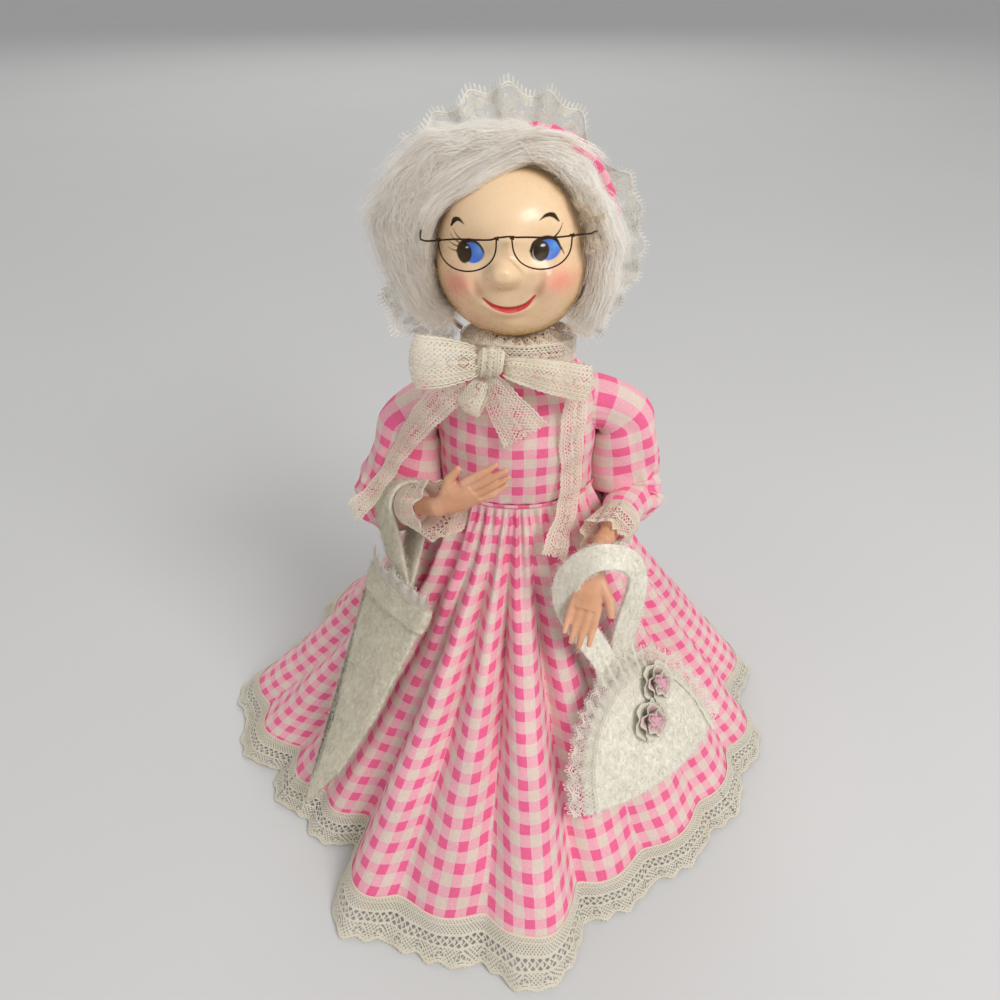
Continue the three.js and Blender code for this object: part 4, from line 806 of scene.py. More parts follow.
def make_skirt():
    folds = sorted(((f[0] + 180) % 360) - 180 for f in DEEP_FOLDS)
    columns, rows = 520, 82
    edges = np.array([folds[-1] - 360] + folds)
    spans = np.diff(edges)
    counts = np.maximum(6, np.round(spans / 360 * columns)).astype(int)
    counts[-1] += columns - counts.sum()
    panels = [np.linspace(edges[k], edges[k + 1], n, endpoint=False) for k, n in enumerate(counts)]
    line = np.concatenate(panels + [[edges[-1]]])
    owner = np.concatenate([np.full(n, k) for k, n in enumerate(counts)])
    crest = (edges[:-1] + edges[1:]) / 2
    repeats = round(HEM_LENGTH / CHECK)

    def hem_run(azimuth):
        turn = np.floor((azimuth + 180) / 360)
        return np.interp(azimuth - 360 * turn, HEM_RUN_AT, HEM_RUN) + turn * HEM_LENGTH

    def column_of(s):
        return line[np.clip(np.round(s * columns).astype(int), 0, columns)]

    def drop_of(t):
        return (1 - t) * (LACE_START + 0.004)

    def shape(s, t):
        return skirt_point(drop_of(t), column_of(s))

    def pattern(s, t, middle):
        panel = owner[np.clip((middle * columns).astype(int), 0, columns - 1)]
        column, drop = column_of(s), drop_of(t)
        ridge = crest[panel]
        hem = hem_run(column) - hem_run(ridge)

        def apart(height):
            return np.linalg.norm(skirt_point(height, column) - skirt_point(height, ridge), axis=1)

        across = hem * apart(drop) / np.maximum(apart(LACE_START), 1e-6)
        u = (hem_run(ridge) + across) / HEM_LENGTH * repeats
        reach = np.hypot(skirt_radius(drop, ridge) - skirt_radius(0 * drop, ridge), SKIRT_TOP * drop)
        return u, -reach / CHECK

    skirt = cloth("skirt_cloth", columns, rows, shape, GINGHAM, pattern, 0.6, closed=True)
    wear(skirt, "doll", "gingham", "skirt")
    return skirt


def torchon(long, wide, repeat):
    """Bobbin lace: firm foot, close net, a row of open lozenges, spiders and a corded scallop."""
    work = Pattern(long)
    a, b = 0.34 * wide, 0.6 * wide
    row, hole = 0.79 * wide, 0.115 * wide
    lozenge, dot = 3.9, 0.45

    def clear(u, v):
        near = (u % repeat) - repeat / 2
        return np.hypot(near, v - row) > hole

    def edge(u):
        return wide - 0.9 - 0.04 * wide * (1 - np.cos(2 * PI * u / repeat))

    work.net(0.4, a, 1.9, 0.75)
    work.net(a, b, lozenge, 0.85, slope=0.95)
    work.net(b, wide - 1.6, 2.2, 0.75, keep=clear)
    for height, width in ((0.4, 1.2), (0.12 * wide, 0.8), (a, 1.2), (b, 1.2)):
        work.cord(lambda u, h=height: h, width)
    for at in np.arange(lozenge / 2, long, lozenge):
        work.ring(at, (a + b) / 2, dot, 0.7, steps=6)
    for at in np.arange(repeat / 2, long, repeat):
        work.ring(at, row, hole, 0.85, steps=12)
        work.ring(at, row, dot, 0.8, steps=6)
        for q in np.arange(6) * PI / 3 + 0.3:
            reach = np.array([0.4, hole])
            work.thread(at + reach * math.cos(q), row + reach * math.sin(q), 0.5)
    work.cord(edge, 1.35, rise=0.25)
    work.cord(lambda u: edge(u) - 1.5, 0.7)
    work.loops(edge, 2.0, 1.2, 0.5)
    return work


def picot(long, wide, repeat, spike, mesh, thread, dip=0.09, half=0.42):
    """Fine net edging with worked flowers, a scalloped cord and loops that stand off it."""
    work = Pattern(long)
    body, satin = wide - spike, 0.48

    def edge(u):
        return body - dip * wide * np.abs(np.cos(PI * u / repeat)) ** 1.5

    work.net(0.3, body, mesh, thread, keep=lambda u, v: v < edge(u) - 0.2)
    work.cord(lambda u: 0.3, 1.1)
    work.cord(lambda u: 1.6, 0.6)
    for k, at in enumerate(np.arange(repeat / 2, long, repeat)):
        low = 0.58 * body + 0.06 * body * (-1) ** k
        size = min(0.2 * repeat, 0.16 * body)
        for q in np.arange(5) * 2 * PI / 5 + 0.4 * k:
            u, v = at + 0.5 * size * math.cos(q), low + 0.5 * size * math.sin(q)
            work.leaf(u, v, 1.35 * size, 0.62 * size, q, satin, 0.85)
        work.ring(at, low, 0.4 * size, 0.6, steps=7)
        for side in (-1, 1):
            upper, lower = at + side * 0.3 * repeat, at + side * 0.24 * repeat
            work.leaf(upper, 0.84 * body, 1.6 * size, 0.5 * size, -PI / 2 + 0.7 * side, satin, 0.8)
            work.leaf(lower, 0.34 * body, 1.4 * size, 0.42 * size, PI / 2 - 0.6 * side, satin, 0.8)
    work.cord(edge, 0.95, rise=0.2)
    work.cord(lambda u: edge(u) - 1.3, 0.55)
    work.loops(edge, 2.7, spike, 0.5, half)
    return work


def insertion(long, wide):
    """Ribbon lace: corded edges, rows of eyelets and a middle of worked lozenges."""
    work = Pattern(long)
    mid = wide / 2
    repeat = 5.1

    def lozenge(u, v):
        near = np.abs(u % repeat - repeat / 2)
        return near + np.abs(v - mid) * 0.8 > 2.0

    work.net(0.1 * wide, 0.9 * wide, 2.3, 0.62, keep=lozenge)
    for at in np.arange(repeat / 2, long, repeat):
        q = np.linspace(0, 2 * PI, 5)
        work.thread(at + 2.0 * np.cos(q), mid + 2.5 * np.sin(q), 0.8, 0.15)
        work.leaf(at - 1.1, mid, 2.2, 0.9, 0.0, 0.5, 0.45)
    for share, width in ((0.2, 0.75), (0.8, 0.75), (0.3, 0.6), (0.7, 0.6), (0.09, 0.7), (0.91, 0.7)):
        work.cord(lambda u, s=share: s * wide, width)
    for side in (0.035, 0.965):
        work.cord(lambda u, s=side: s * wide + 0.35 * np.sin(2 * PI * u / 3.4), 1.0, rise=0.25)
    return work


def make_hem_lace():
    """Edging round the hem, in three lengths that meet at the back and the sides."""
    repeat, fullness = 12.0, 1.02
    third = round(HEM_LENGTH * fullness / repeat / 3) * repeat
    long = 3 * third
    for part, name in enumerate(("right", "front", "left")):
        def place(u, v, part=part):
            u = u + part * third
            column = np.interp(u / long * HEM_LENGTH, HEM_RUN, HEM_RUN_AT)
            share = v / HEM_LACE
            turn = 6 * PI * u / third
            ripple = 0.9 * share * np.sin(turn * 8) + 0.6 * share * np.sin(turn * 3 + 1)
            return skirt_point(lerp(LACE_START - 0.006, 1.0, share), column, 0.5 + ripple)

        trim(f"hem_lace_{name}", torchon(third, HEM_LACE, repeat), HEM_LACE, place, LACE, "doll",
             ["skirt_lace"], flip=True)


# Bodice and sleeves

BODY_ROUTE = Route([(w, d, z) for z, w, d in BODY])


def body_side(z):
    """Half width and half depth of the bodice at a height."""
    p = BODY_ROUTE.p
    return np.interp(z, p[:, 2], p[:, 0]), np.interp(z, p[:, 2], p[:, 1])


def make_bodice():
    def shape(s, t):
        wide, deep, z = BODY_ROUTE.at(t * 0.985).T
        angle = 2 * PI * s + PI
        p = around(wide, deep, angle, z)
        tuck = 0.35 * np.cos(60 * s * PI) * np.exp(-(t / 0.08) ** 2)
        crease = 0.45 * (wander(p, 26, 11) - 1.0) + tuck - 0.1
        return p + around(crease, crease, angle, 0.0)

    def pattern(s, t, middle):
        girth = 2 * PI * 42.5
        return (s - 0.5) * girth / CHECK + 0.25, -t * BODY_ROUTE.length / CHECK + 0.1

    bodice = cloth("bodice_cloth", 120, 48, shape, GINGHAM, pattern, 0.6, closed=True)
    wear(bodice, "doll", "gingham", "bodice")

    # Waist seam: a narrow turned edge that the gathers hang from
    def seam(s, t):
        lift = 2 * PI * t
        grow = 0.5 + 0.9 * np.cos(lift)
        wide, deep = (half + grow for half in WAIST_HALF)
        return around(wide, deep, 2 * PI * s, SKIRT_TOP + 0.5 + 1.1 * np.sin(lift))

    binding = cloth("waist_seam", 120, 8, seam, GINGHAM, lambda s, t, m: (s * 21, t * 0.25), closed=True)
    wear(binding, "doll", "gingham")


def arm_places(name):
    arm = ARMS[name]
    side = arm["side"]
    shoulder = vec(side * SHOULDER_X, 0, SHOULDER_Z)
    elbow = shoulder + vec(*arm["elbow"])
    reach = vec(*arm["wrist"])
    forearm = unit(reach)
    lift = unit(vec(0, 0, 1) - forearm * forearm[2])
    # Bend from the shoulder plane, then straight down to the elbow
    out = vec(side, 0, 0)
    fall = elbow - shoulder
    run = fall @ out
    down = fall - out * run
    depth = np.linalg.norm(down)
    down = down / depth
    spread = math.hypot(run, depth - WIRE_BEND)
    bend = math.atan2(run, WIRE_BEND - depth) - math.acos(WIRE_BEND / spread)
    total = WIRE_BEND * bend + math.sqrt(spread**2 - WIRE_BEND**2)

    def upper(share):
        length = share * total
        angle = min(bend, length / WIRE_BEND)
        past = max(0.0, length - WIRE_BEND * bend)
        along = out * math.cos(angle) + down * math.sin(angle)
        up = out * math.sin(angle) - down * math.cos(angle)
        return shoulder + down * WIRE_BEND + up * WIRE_BEND + along * past

    return dict(
        side=side, elbow=elbow, forearm=forearm, lift=lift, sideways=np.cross(forearm, lift), upper=upper,
        sleeve=np.linalg.norm(reach) - BARE_WRIST, wrist=elbow + reach,
        flare=arm["flare"], slack=arm["slack"],
    )


PLACES = {name: arm_places(name) for name in ARMS}


def make_sleeve(name):
    a = PLACES[name]
    side = a["side"]
    up = (0, 0, 1)
    upper = [a["upper"](q) for q in (0.0, 0.12, 0.25, 0.4, 0.55, 0.7, 0.82)]
    past_elbow = (9, 18, 30, a["sleeve"] * 0.75, a["sleeve"], a["sleeve"] + 6)
    route = Route(upper + [a["elbow"] + a["forearm"] * q for q in past_elbow])

    def share_near(p):
        return float(route.run[np.argmin(np.linalg.norm(route.p - p, axis=1))] / route.length)

    split_at, elbow_at = share_near(upper[4]), share_near(a["elbow"])
    fullness = [
        (0, 15.6), (split_at * 0.6, 15.2), (split_at, 14.2), (elbow_at, 15.6), (lerp(elbow_at, 1, 0.4), 12.6),
        (1, 10.6),
    ]

    def tube(s, share):
        angle = 2 * PI * s
        ring = ring_of(*route.frames(share, up), angle)
        radius = smooth_table(fullness, share)
        p = route.at(share) + ring * radius[:, None]
        crease = 2 * PI * (share - elbow_at) * route.length / 8.5 + 1.3 * np.sin(angle)
        ripple = 0.9 * np.sin(crease) * hill(share - elbow_at, 0.13)
        # Slack cloth hangs towards the body, and the end is turned in round the wrist
        slack = a["slack"] * hill(share - 0.7 * elbow_at, 0.42 * elbow_at)
        slack = slack * np.clip(-0.85 * side * ring[:, 0] - 0.35 * ring[:, 2], 0, 1) ** 1.3
        twist = 7 * angle + 9 * share + 1.5 * np.sin(14 * share)
        folds = 0.8 * np.sin(twist) * hill(share - 0.9 * elbow_at, 0.2)
        close = radius * (np.sqrt(1 - 0.72 * np.clip((share - 0.955) / 0.045, 0, 1) ** 2) - 1)
        puff = 1.0 * wander(p, 26, 21 + side) + ripple + folds + slack + close - 0.5
        return p + ring * puff[:, None]

    def head(s, t):
        """Sleeve head, sewn round the armhole and eased on to the sleeve."""
        p = tube(s, t * split_at)
        angle = 2 * PI * s
        ring = ring_of(*route.frames(np.zeros_like(s), up), angle)
        y, z = ring[:, 1] * 17.0, SHOULDER_Z + ring[:, 2] * 16.5
        wide, deep = body_side(z)
        x = wide * np.sqrt(np.clip(1 - (y / deep) ** 2, 0.02, 1)) - 1.1
        hole = stack(side * x, y, z)
        hold = ease(1 - t / 0.55)[:, None]
        tuck = 0.55 * np.cos(22 * angle) * np.exp(-(t / 0.25) ** 2) * (1 - np.exp(-(t / 0.05) ** 2))
        return lerp(p, hole, hold) + ring * tuck[:, None]

    def sleeve_print(s, share):
        return s * 6 + 0.2, -share * route.length / CHECK

    def flipped(shape):
        return (lambda s, t: shape(1 - s, t)) if side > 0 else shape

    top = cloth(f"{name}_sleeve_head", 72, 30, flipped(head), GINGHAM,
                lambda s, t, m: sleeve_print(s, t * split_at), closed=True)
    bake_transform(top)
    main = cloth(f"{name}_sleeve", 72, 96, flipped(lambda s, t: tube(s, lerp(split_at, 1, t))), GINGHAM,
                 lambda s, t, m: sleeve_print(s, lerp(split_at, 1, t)), closed=True)
    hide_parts(f"{name}_upper_sleeve", f"{name}_lower_sleeve")
    before = route.at(np.array([elbow_at - 15 / route.length]))[0]
    after = route.at(np.array([elbow_at + 13 / route.length]))[0]
    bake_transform(main)


def make_cuff(name):
    a = PLACES[name]
    long = CUFF_REPEATS * CUFF_REPEAT

    def place(u, v):
        angle = 2 * PI * u / long
        share = np.maximum(v / CUFF_WIDE, 0)
        frill = (1.5 * np.cos(5 * angle) + 0.8 * np.cos(11 * angle + 1)) * share
        ring = ring_of(a["lift"], a["sideways"], angle)
        # The lace hangs open below and lies close on the side that is seen
        hang = ring @ vec(-0.45 * a["side"], 0.5, -0.75)
        radius = lerp(11.4, a["flare"] * (0.84 + 0.3 * hang), share**1.1) + frill + 0.3
        far = a["sleeve"] - 4.0 + v * 1.12 + share * np.sin(3 * angle + 0.6)
        return a["elbow"] + a["forearm"] * far[:, None] + ring * radius[:, None]

    trim(f"{name}_cuff_frill", torchon(long, CUFF_WIDE, CUFF_REPEAT), CUFF_WIDE, place, LACE,
         f"{name}_forearm", [f"{name}_cuff_lace"])


def make_hand(name):
    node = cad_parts[f"{name}_hand"]
    hand = bpy.data.objects.new(f"{name}_moulded_hand", node.data.copy())
    bpy.context.collection.objects.link(hand)
    weld(hand, 1e-5)
    apply(hand, "REMESH", mode="VOXEL", voxel_size=HAND_GRAIN * MM)
    apply(hand, "SMOOTH", factor=0.5, iterations=7)
    apply(hand, "SUBSURF", levels=1, render_levels=1)
    settle(hand, HAND)
    wear(hand, f"{name}_forearm", "hand_plastic", f"{name}_hand")


# Head: mask face, hair, bonnet and spectacles, in the head's own frame

def head_matrix():
    x, y, z = (math.radians(d) for d in HEAD_TURN)
    turn = Matrix.Rotation(z, 3, "Z") @ Matrix.Rotation(y, 3, "Y") @ Matrix.Rotation(x, 3, "X")
    return np.array(turn), np.array(HEAD_AT)


HEAD_ROT, HEAD_ORIGIN = head_matrix()


def on_head(p):
    return p @ HEAD_ROT.T + HEAD_ORIGIN


def face_surface(x, z, reach):
    """Forward reach of the moulded face at x and z over the plain mask, without the sign."""
    cheeks = 5.2 * hill(np.hypot(np.abs(x) - 20.5, z + 14), 10.5)
    sockets = 2.6 * hill(np.hypot((np.abs(x - 0.5) - 17.5) / 1.25, z - 1), 9)
    brow = 1.2 * hill(np.hypot(x / 2.6, z - 19), 9)
    nose = 9.4 * hill(np.hypot((x + 1.2) / 1.32, z + 8.4), 5.9, 3.8) + 1.4 * hill(np.hypot(x / 0.8, z - 1), 9)
    smile = np.hypot(x / 1.02, (z + 10) / 0.98)
    groove = 2.2 * hill(smile - 15.5, 2.2) * hill(z + 17, 6.5) * np.clip((np.abs(x) - 7) / 5, 0, 1)
    mouth = z + 22 + 5.2 - 5.2 * (x / 12.5) ** 2 * 0.9
    part = 0.9 * hill(mouth - 0.9, 0.9) * hill(x, 13, 4)
    lower = 1.3 * hill(mouth + 1.6, 2.0) * hill(x, 11, 4)
    under = 1.0 * hill(np.hypot(x / 1.6, z + 30.0), 4)
    chin = 2.6 * hill(np.hypot(x, z + 35), 8)
    return reach + cheeks - sockets + brow + nose - groove - part + lower - under + chin


def face_paint_and_shading(x, z, rim):
    """Colour of the painted face at x and z, with painted shade in its hollows and painted highlights; rim is
    0 in the middle of the mask and 1 at its edge.
    """
    def oval(cx, cz, rx, rz):
        far = np.hypot((x - cx) / rx, (z - cz) / rz)
        return np.clip((1 - far) * min(rx, rz) / 0.35 + 0.5, 0, 1)

    def glow(cx, cz, rx, rz):
        return np.exp(-((x - cx) / rx) ** 2 - ((z - cz) / rz) ** 2)

    def stroke(points, widths):
        dabs = 60
        path = Route([(a, b, 0) for a, b in points], dabs).p[:, :2]
        thick = np.interp(np.linspace(0, 1, dabs), np.linspace(0, 1, len(widths)), widths) / 2
        best = np.full_like(x, -9.0)
        for (a, b), w in zip(path, thick):
            best = np.maximum(best, w - np.hypot(x - a, z - b))
        return np.clip(best / 0.25 + 0.5, 0, 1)

    skin, black, red = shade(240, 206, 166), shade(10, 8, 8), shade(204, 40, 50)
    colour = np.tile(vec(*skin[:3]), (len(x), 1))

    def lay(mask, tone):
        nonlocal colour
        colour = colour * (1 - mask[:, None]) + vec(*tone[:3]) * mask[:, None]

    lay(0.8 * np.clip((rim - 0.88) / 0.07, 0, 1), shade(226, 186, 108))
    for cx in (-24.5, 24.5):
        lay(0.6 * glow(cx, -13.5, 8.0, 6.5), shade(232, 96, 92))
    # Brown at the smile grooves from the nose to the mouth corners: painted shade in the creases
    for cx in (-14.2, 14.2):
        lay(0.35 * glow(cx, -17.5, 2.2, 3.4), shade(168, 96, 60))
    # Brown in the hollow under the lower lip: painted shade
    lay(0.22 * glow(0, -30.5, 9, 2.2), shade(190, 120, 84))
    # Darker tan over both eye sockets: painted shade in their hollows under the brows
    lay(0.25 * glow(-17, 6, 9, 6) + 0.2 * glow(18, 6, 9, 6), shade(214, 166, 118))
    blue, pale = shade(36, 104, 206), shade(110, 168, 234)
    for cx, pupil in ((-17.2, -20.2), (18.0, 16.0)):
        lay(oval(cx, 1.0, 7.0, 5.4), black)
        lay(oval(cx + 0.35, 0.3, 6.2, 4.9), shade(232, 206, 170))
        lay(oval(cx + 1.4, 1.0, 5.3, 4.6), blue)
        lay(0.7 * glow(cx + 4.4, 2.4, 2.6, 2.6) * oval(cx + 1.4, 1.0, 5.3, 4.6), pale)
        lay(oval(pupil, 0.8, 3.7, 4.5), black)
    # Brown under the nose: painted shade
    lay(0.3 * glow(-1.2, -15.4, 6.5, 1.5), shade(170, 108, 70))
    # Small white-blue dots on both eyes: painted highlights
    for at, size in (((16.9, 3.1), 0.8), ((-18.8, 3.2), 0.5)):
        lay(0.9 * oval(*at, size * 1.3, size * 0.7), shade(226, 236, 248))
    for points, widths in (
        ([(-24.2, 1.0), (-22.2, 4.6), (-17.6, 6.5), (-13.0, 5.0), (-10.4, 1.2)], (0.7, 1.5, 1.7, 1.2, 0.6)),
        ([(11.0, 1.0), (13.0, 4.8), (17.8, 6.5), (22.6, 5.2), (25.2, 0.6)], (0.6, 1.3, 1.6, 1.5, 0.7)),
        ([(25.0, 1.4), (26.6, -1.8)], (0.8, 0.3)),
        ([(21.8, 5.9), (24.4, 8.6), (26.0, 12.0)], (0.9, 0.6, 0.2)),
        ([(-20.8, 6.0), (-23.8, 8.4), (-25.6, 11.2)], (0.7, 0.5, 0.2)),
        ([(-22.2, 5.0), (-25.2, 6.6), (-27.4, 9.0)], (0.7, 0.5, 0.2)),
        ([(-23.4, 3.4), (-26.4, 4.4), (-28.8, 6.0)], (0.7, 0.5, 0.2)),
        ([(-24.0, 1.4), (-26.8, 1.8), (-29.0, 2.8)], (0.6, 0.4, 0.2)),
        ([(-26.6, 12.6), (-24.9, 15.0), (-22.4, 15.4), (-19.6, 13.4)], (1.0, 2.3, 1.7, 0.3)),
        ([(15.6, 14.2), (18.6, 16.0), (21.6, 15.8), (24.2, 13.0)], (0.3, 1.6, 2.1, 0.7)),
    ):
        lay(stroke(points, widths), black)
    lips = [(-12.4, -20.4), (-7.5, -24.6), (0, -26.6), (7.5, -24.8), (12.6, -19.8)]
    between = [(-11.6, -20.6), (-6.5, -24.0), (0, -25.4), (6.5, -24.0), (11.8, -20.2)]
    lay(stroke(lips, (0.9, 2.2, 3.3, 2.4, 1.1)), red)
    lay(0.6 * stroke(between, (0.4, 0.8, 0.9, 0.8, 0.4)), shade(150, 22, 34))
    # Lighter pink along the lower lip: painted highlight
    lay(0.5 * glow(1.5, -27.4, 5, 0.5), shade(238, 120, 118))
    return colour


def globe(s, t, wide, deep, tall):
    """Points of a stretched ball: s runs round it and t up it."""
    lift = PI * (t - 0.5)
    return around(wide * np.cos(lift), deep * np.cos(lift), 2 * PI * s, tall * np.sin(lift))


def make_face():
    where = {}

    def shape(s, t):
        a, b = 2 * s - 1, 2 * t - 1
        edge = np.maximum(np.abs(a), np.abs(b))
        turn_in = np.clip((edge - RIM_START) / (1 - RIM_START), 0, 1)
        scale = np.minimum(1, RIM_START / np.maximum(edge, 1e-6))
        a, b = a * scale / RIM_START, b * scale / RIM_START
        span = math.sin(math.radians(80))
        sx, sz = span * a * np.sqrt(1 - b * b / 2), span * b * np.sqrt(1 - a * a / 2)
        low = np.maximum(0, -sz)
        x = FACE_HALF[0] * sx * (1 + JAW_FULLNESS * low * (1 - 0.35 * low))
        z = FACE_HALF[1] * sz * (1 + CHIN_DROP * low)
        where["x"], where["z"], where["rim"] = x, z, np.hypot(sx, sz)
        y = -face_surface(x, z, FACE_DEPTH * np.sqrt(np.clip(1 - sx**2 - sz**2, 0, 1)))
        inset = 1 - 0.045 * turn_in**2
        return on_head(stack(x * inset, y + 3.0 * turn_in, z * inset))

    face = cloth("mask_face", 250, 262, shape, FACE)
    paint_and_shading = face.data.attributes.new("paint_and_shading", "FLOAT_COLOR", "POINT")
    colour = np.ones((len(where["x"]), 4), np.float32)
    colour[:, :3] = face_paint_and_shading(where["x"], where["z"], where["rim"])
    colour[:, 3] = np.clip(colour[:, :3].mean(1) / 0.12, 0.15, 1)
    paint_and_shading.data.foreach_set("color", colour.ravel())
    wear(face, "head", "face_plastic", "face_mask")

    def ball(s, t):
        p = globe(s, t, 35.5, 30.2, 38.2)
        return on_head(p * (1 + 0.012 * wander(p, 16, 3) - 0.012)[:, None])

    stuffing = cloth("head_stuffing", 48, 30, ball, WADDING, closed=True)
    wear(stuffing, "head", "wadding", "head_form")


def wig_point(angle, turn, lift=0.0):
    """Point on the roll of hair: turn is 180 at the face, 270 in front and 0 outside."""
    way, turn = np.radians(angle), np.radians(turn)
    c, q = np.cos(way), np.sin(way)
    outer = smooth_table(WIG_OUTLINE, angle) + 1.2 * np.sin(9 * way + 0.7) + 0.9 * np.sin(17 * way + 2)
    jaw = 1 + 0.58 * JAW_FULLNESS * np.maximum(0, -q)
    inner = jaw / np.hypot(c / FACE_HALF[0], q / FACE_HALF[1]) + 0.6
    half, deep = (outer - inner) / 2 + lift, 14.5 + lift
    share = (angle - WIG_ARC[0]) / (WIG_ARC[1] - WIG_ARC[0])
    deep = deep * (1 - 0.28 * np.clip(2 * share - 1, -1, 1) ** 4)
    out = (inner + outer) / 2 + half * np.cos(turn)
    return stack(out * c, -7.5 + deep * np.sin(turn), out * q)


# Where guides of hair may run, and how much they stand off the roll by angle round the face
HAIR_ARC = (-50, 224)
HAIR_STANDS_OFF = [(-50, 0.5), (30, 0.3), (60, 0.25), (105, 0.35), (135, 0.8), (170, 1), (224, 1)]
# Lower edge of the fringe by angle
FRINGE_EDGE = [
    (50, 47), (70, 43.5), (82, 39.5), (95, 35.5), (112, 33.5), (128, 34), (145, 37), (165, 39.5), (185, 41),
]


def strands(name, guides, each, spread, width, seed, finish=MOHAIR):
    """Locks of hair: each guide line carries a bundle of fine wavering strands."""
    r = np.random.default_rng(seed)
    count, points, _ = guides.shape
    t = np.linspace(0, 1, points)[None, None, :, None]
    bundle = r.normal(0, 1, (count, each, 1, 3)) * spread * (0.35 + 0.65 * np.sin(PI * t) ** 0.7)
    turn = r.uniform(0, 2 * PI, (count, each, 1, 3))
    pace = r.uniform(5, 13, (count, each, 1, 3))
    frizz = np.sin(t * pace + turn) * r.uniform(0.15, 0.75, (count, each, 1, 1)) * (0.3 + t)
    fray = r.normal(0, 1, (count, each, 1, 3)) * spread * 1.5 * np.clip(t - 0.72, 0, 1) / 0.28
    lines = (guides[:, None] + bundle + frizz + fray).reshape(-1, points, 3)
    out = unit(lines - vec(0, 20, 0)) @ HEAD_ROT.T
    taper = np.interp(np.linspace(0, 1, points), [0, 0.15, 0.75, 1], [0.5, 1, 1, 0.35])
    hair = hairs(name, on_head(lines), width * taper, finish, out)
    wear(hair, "head", "mohair")


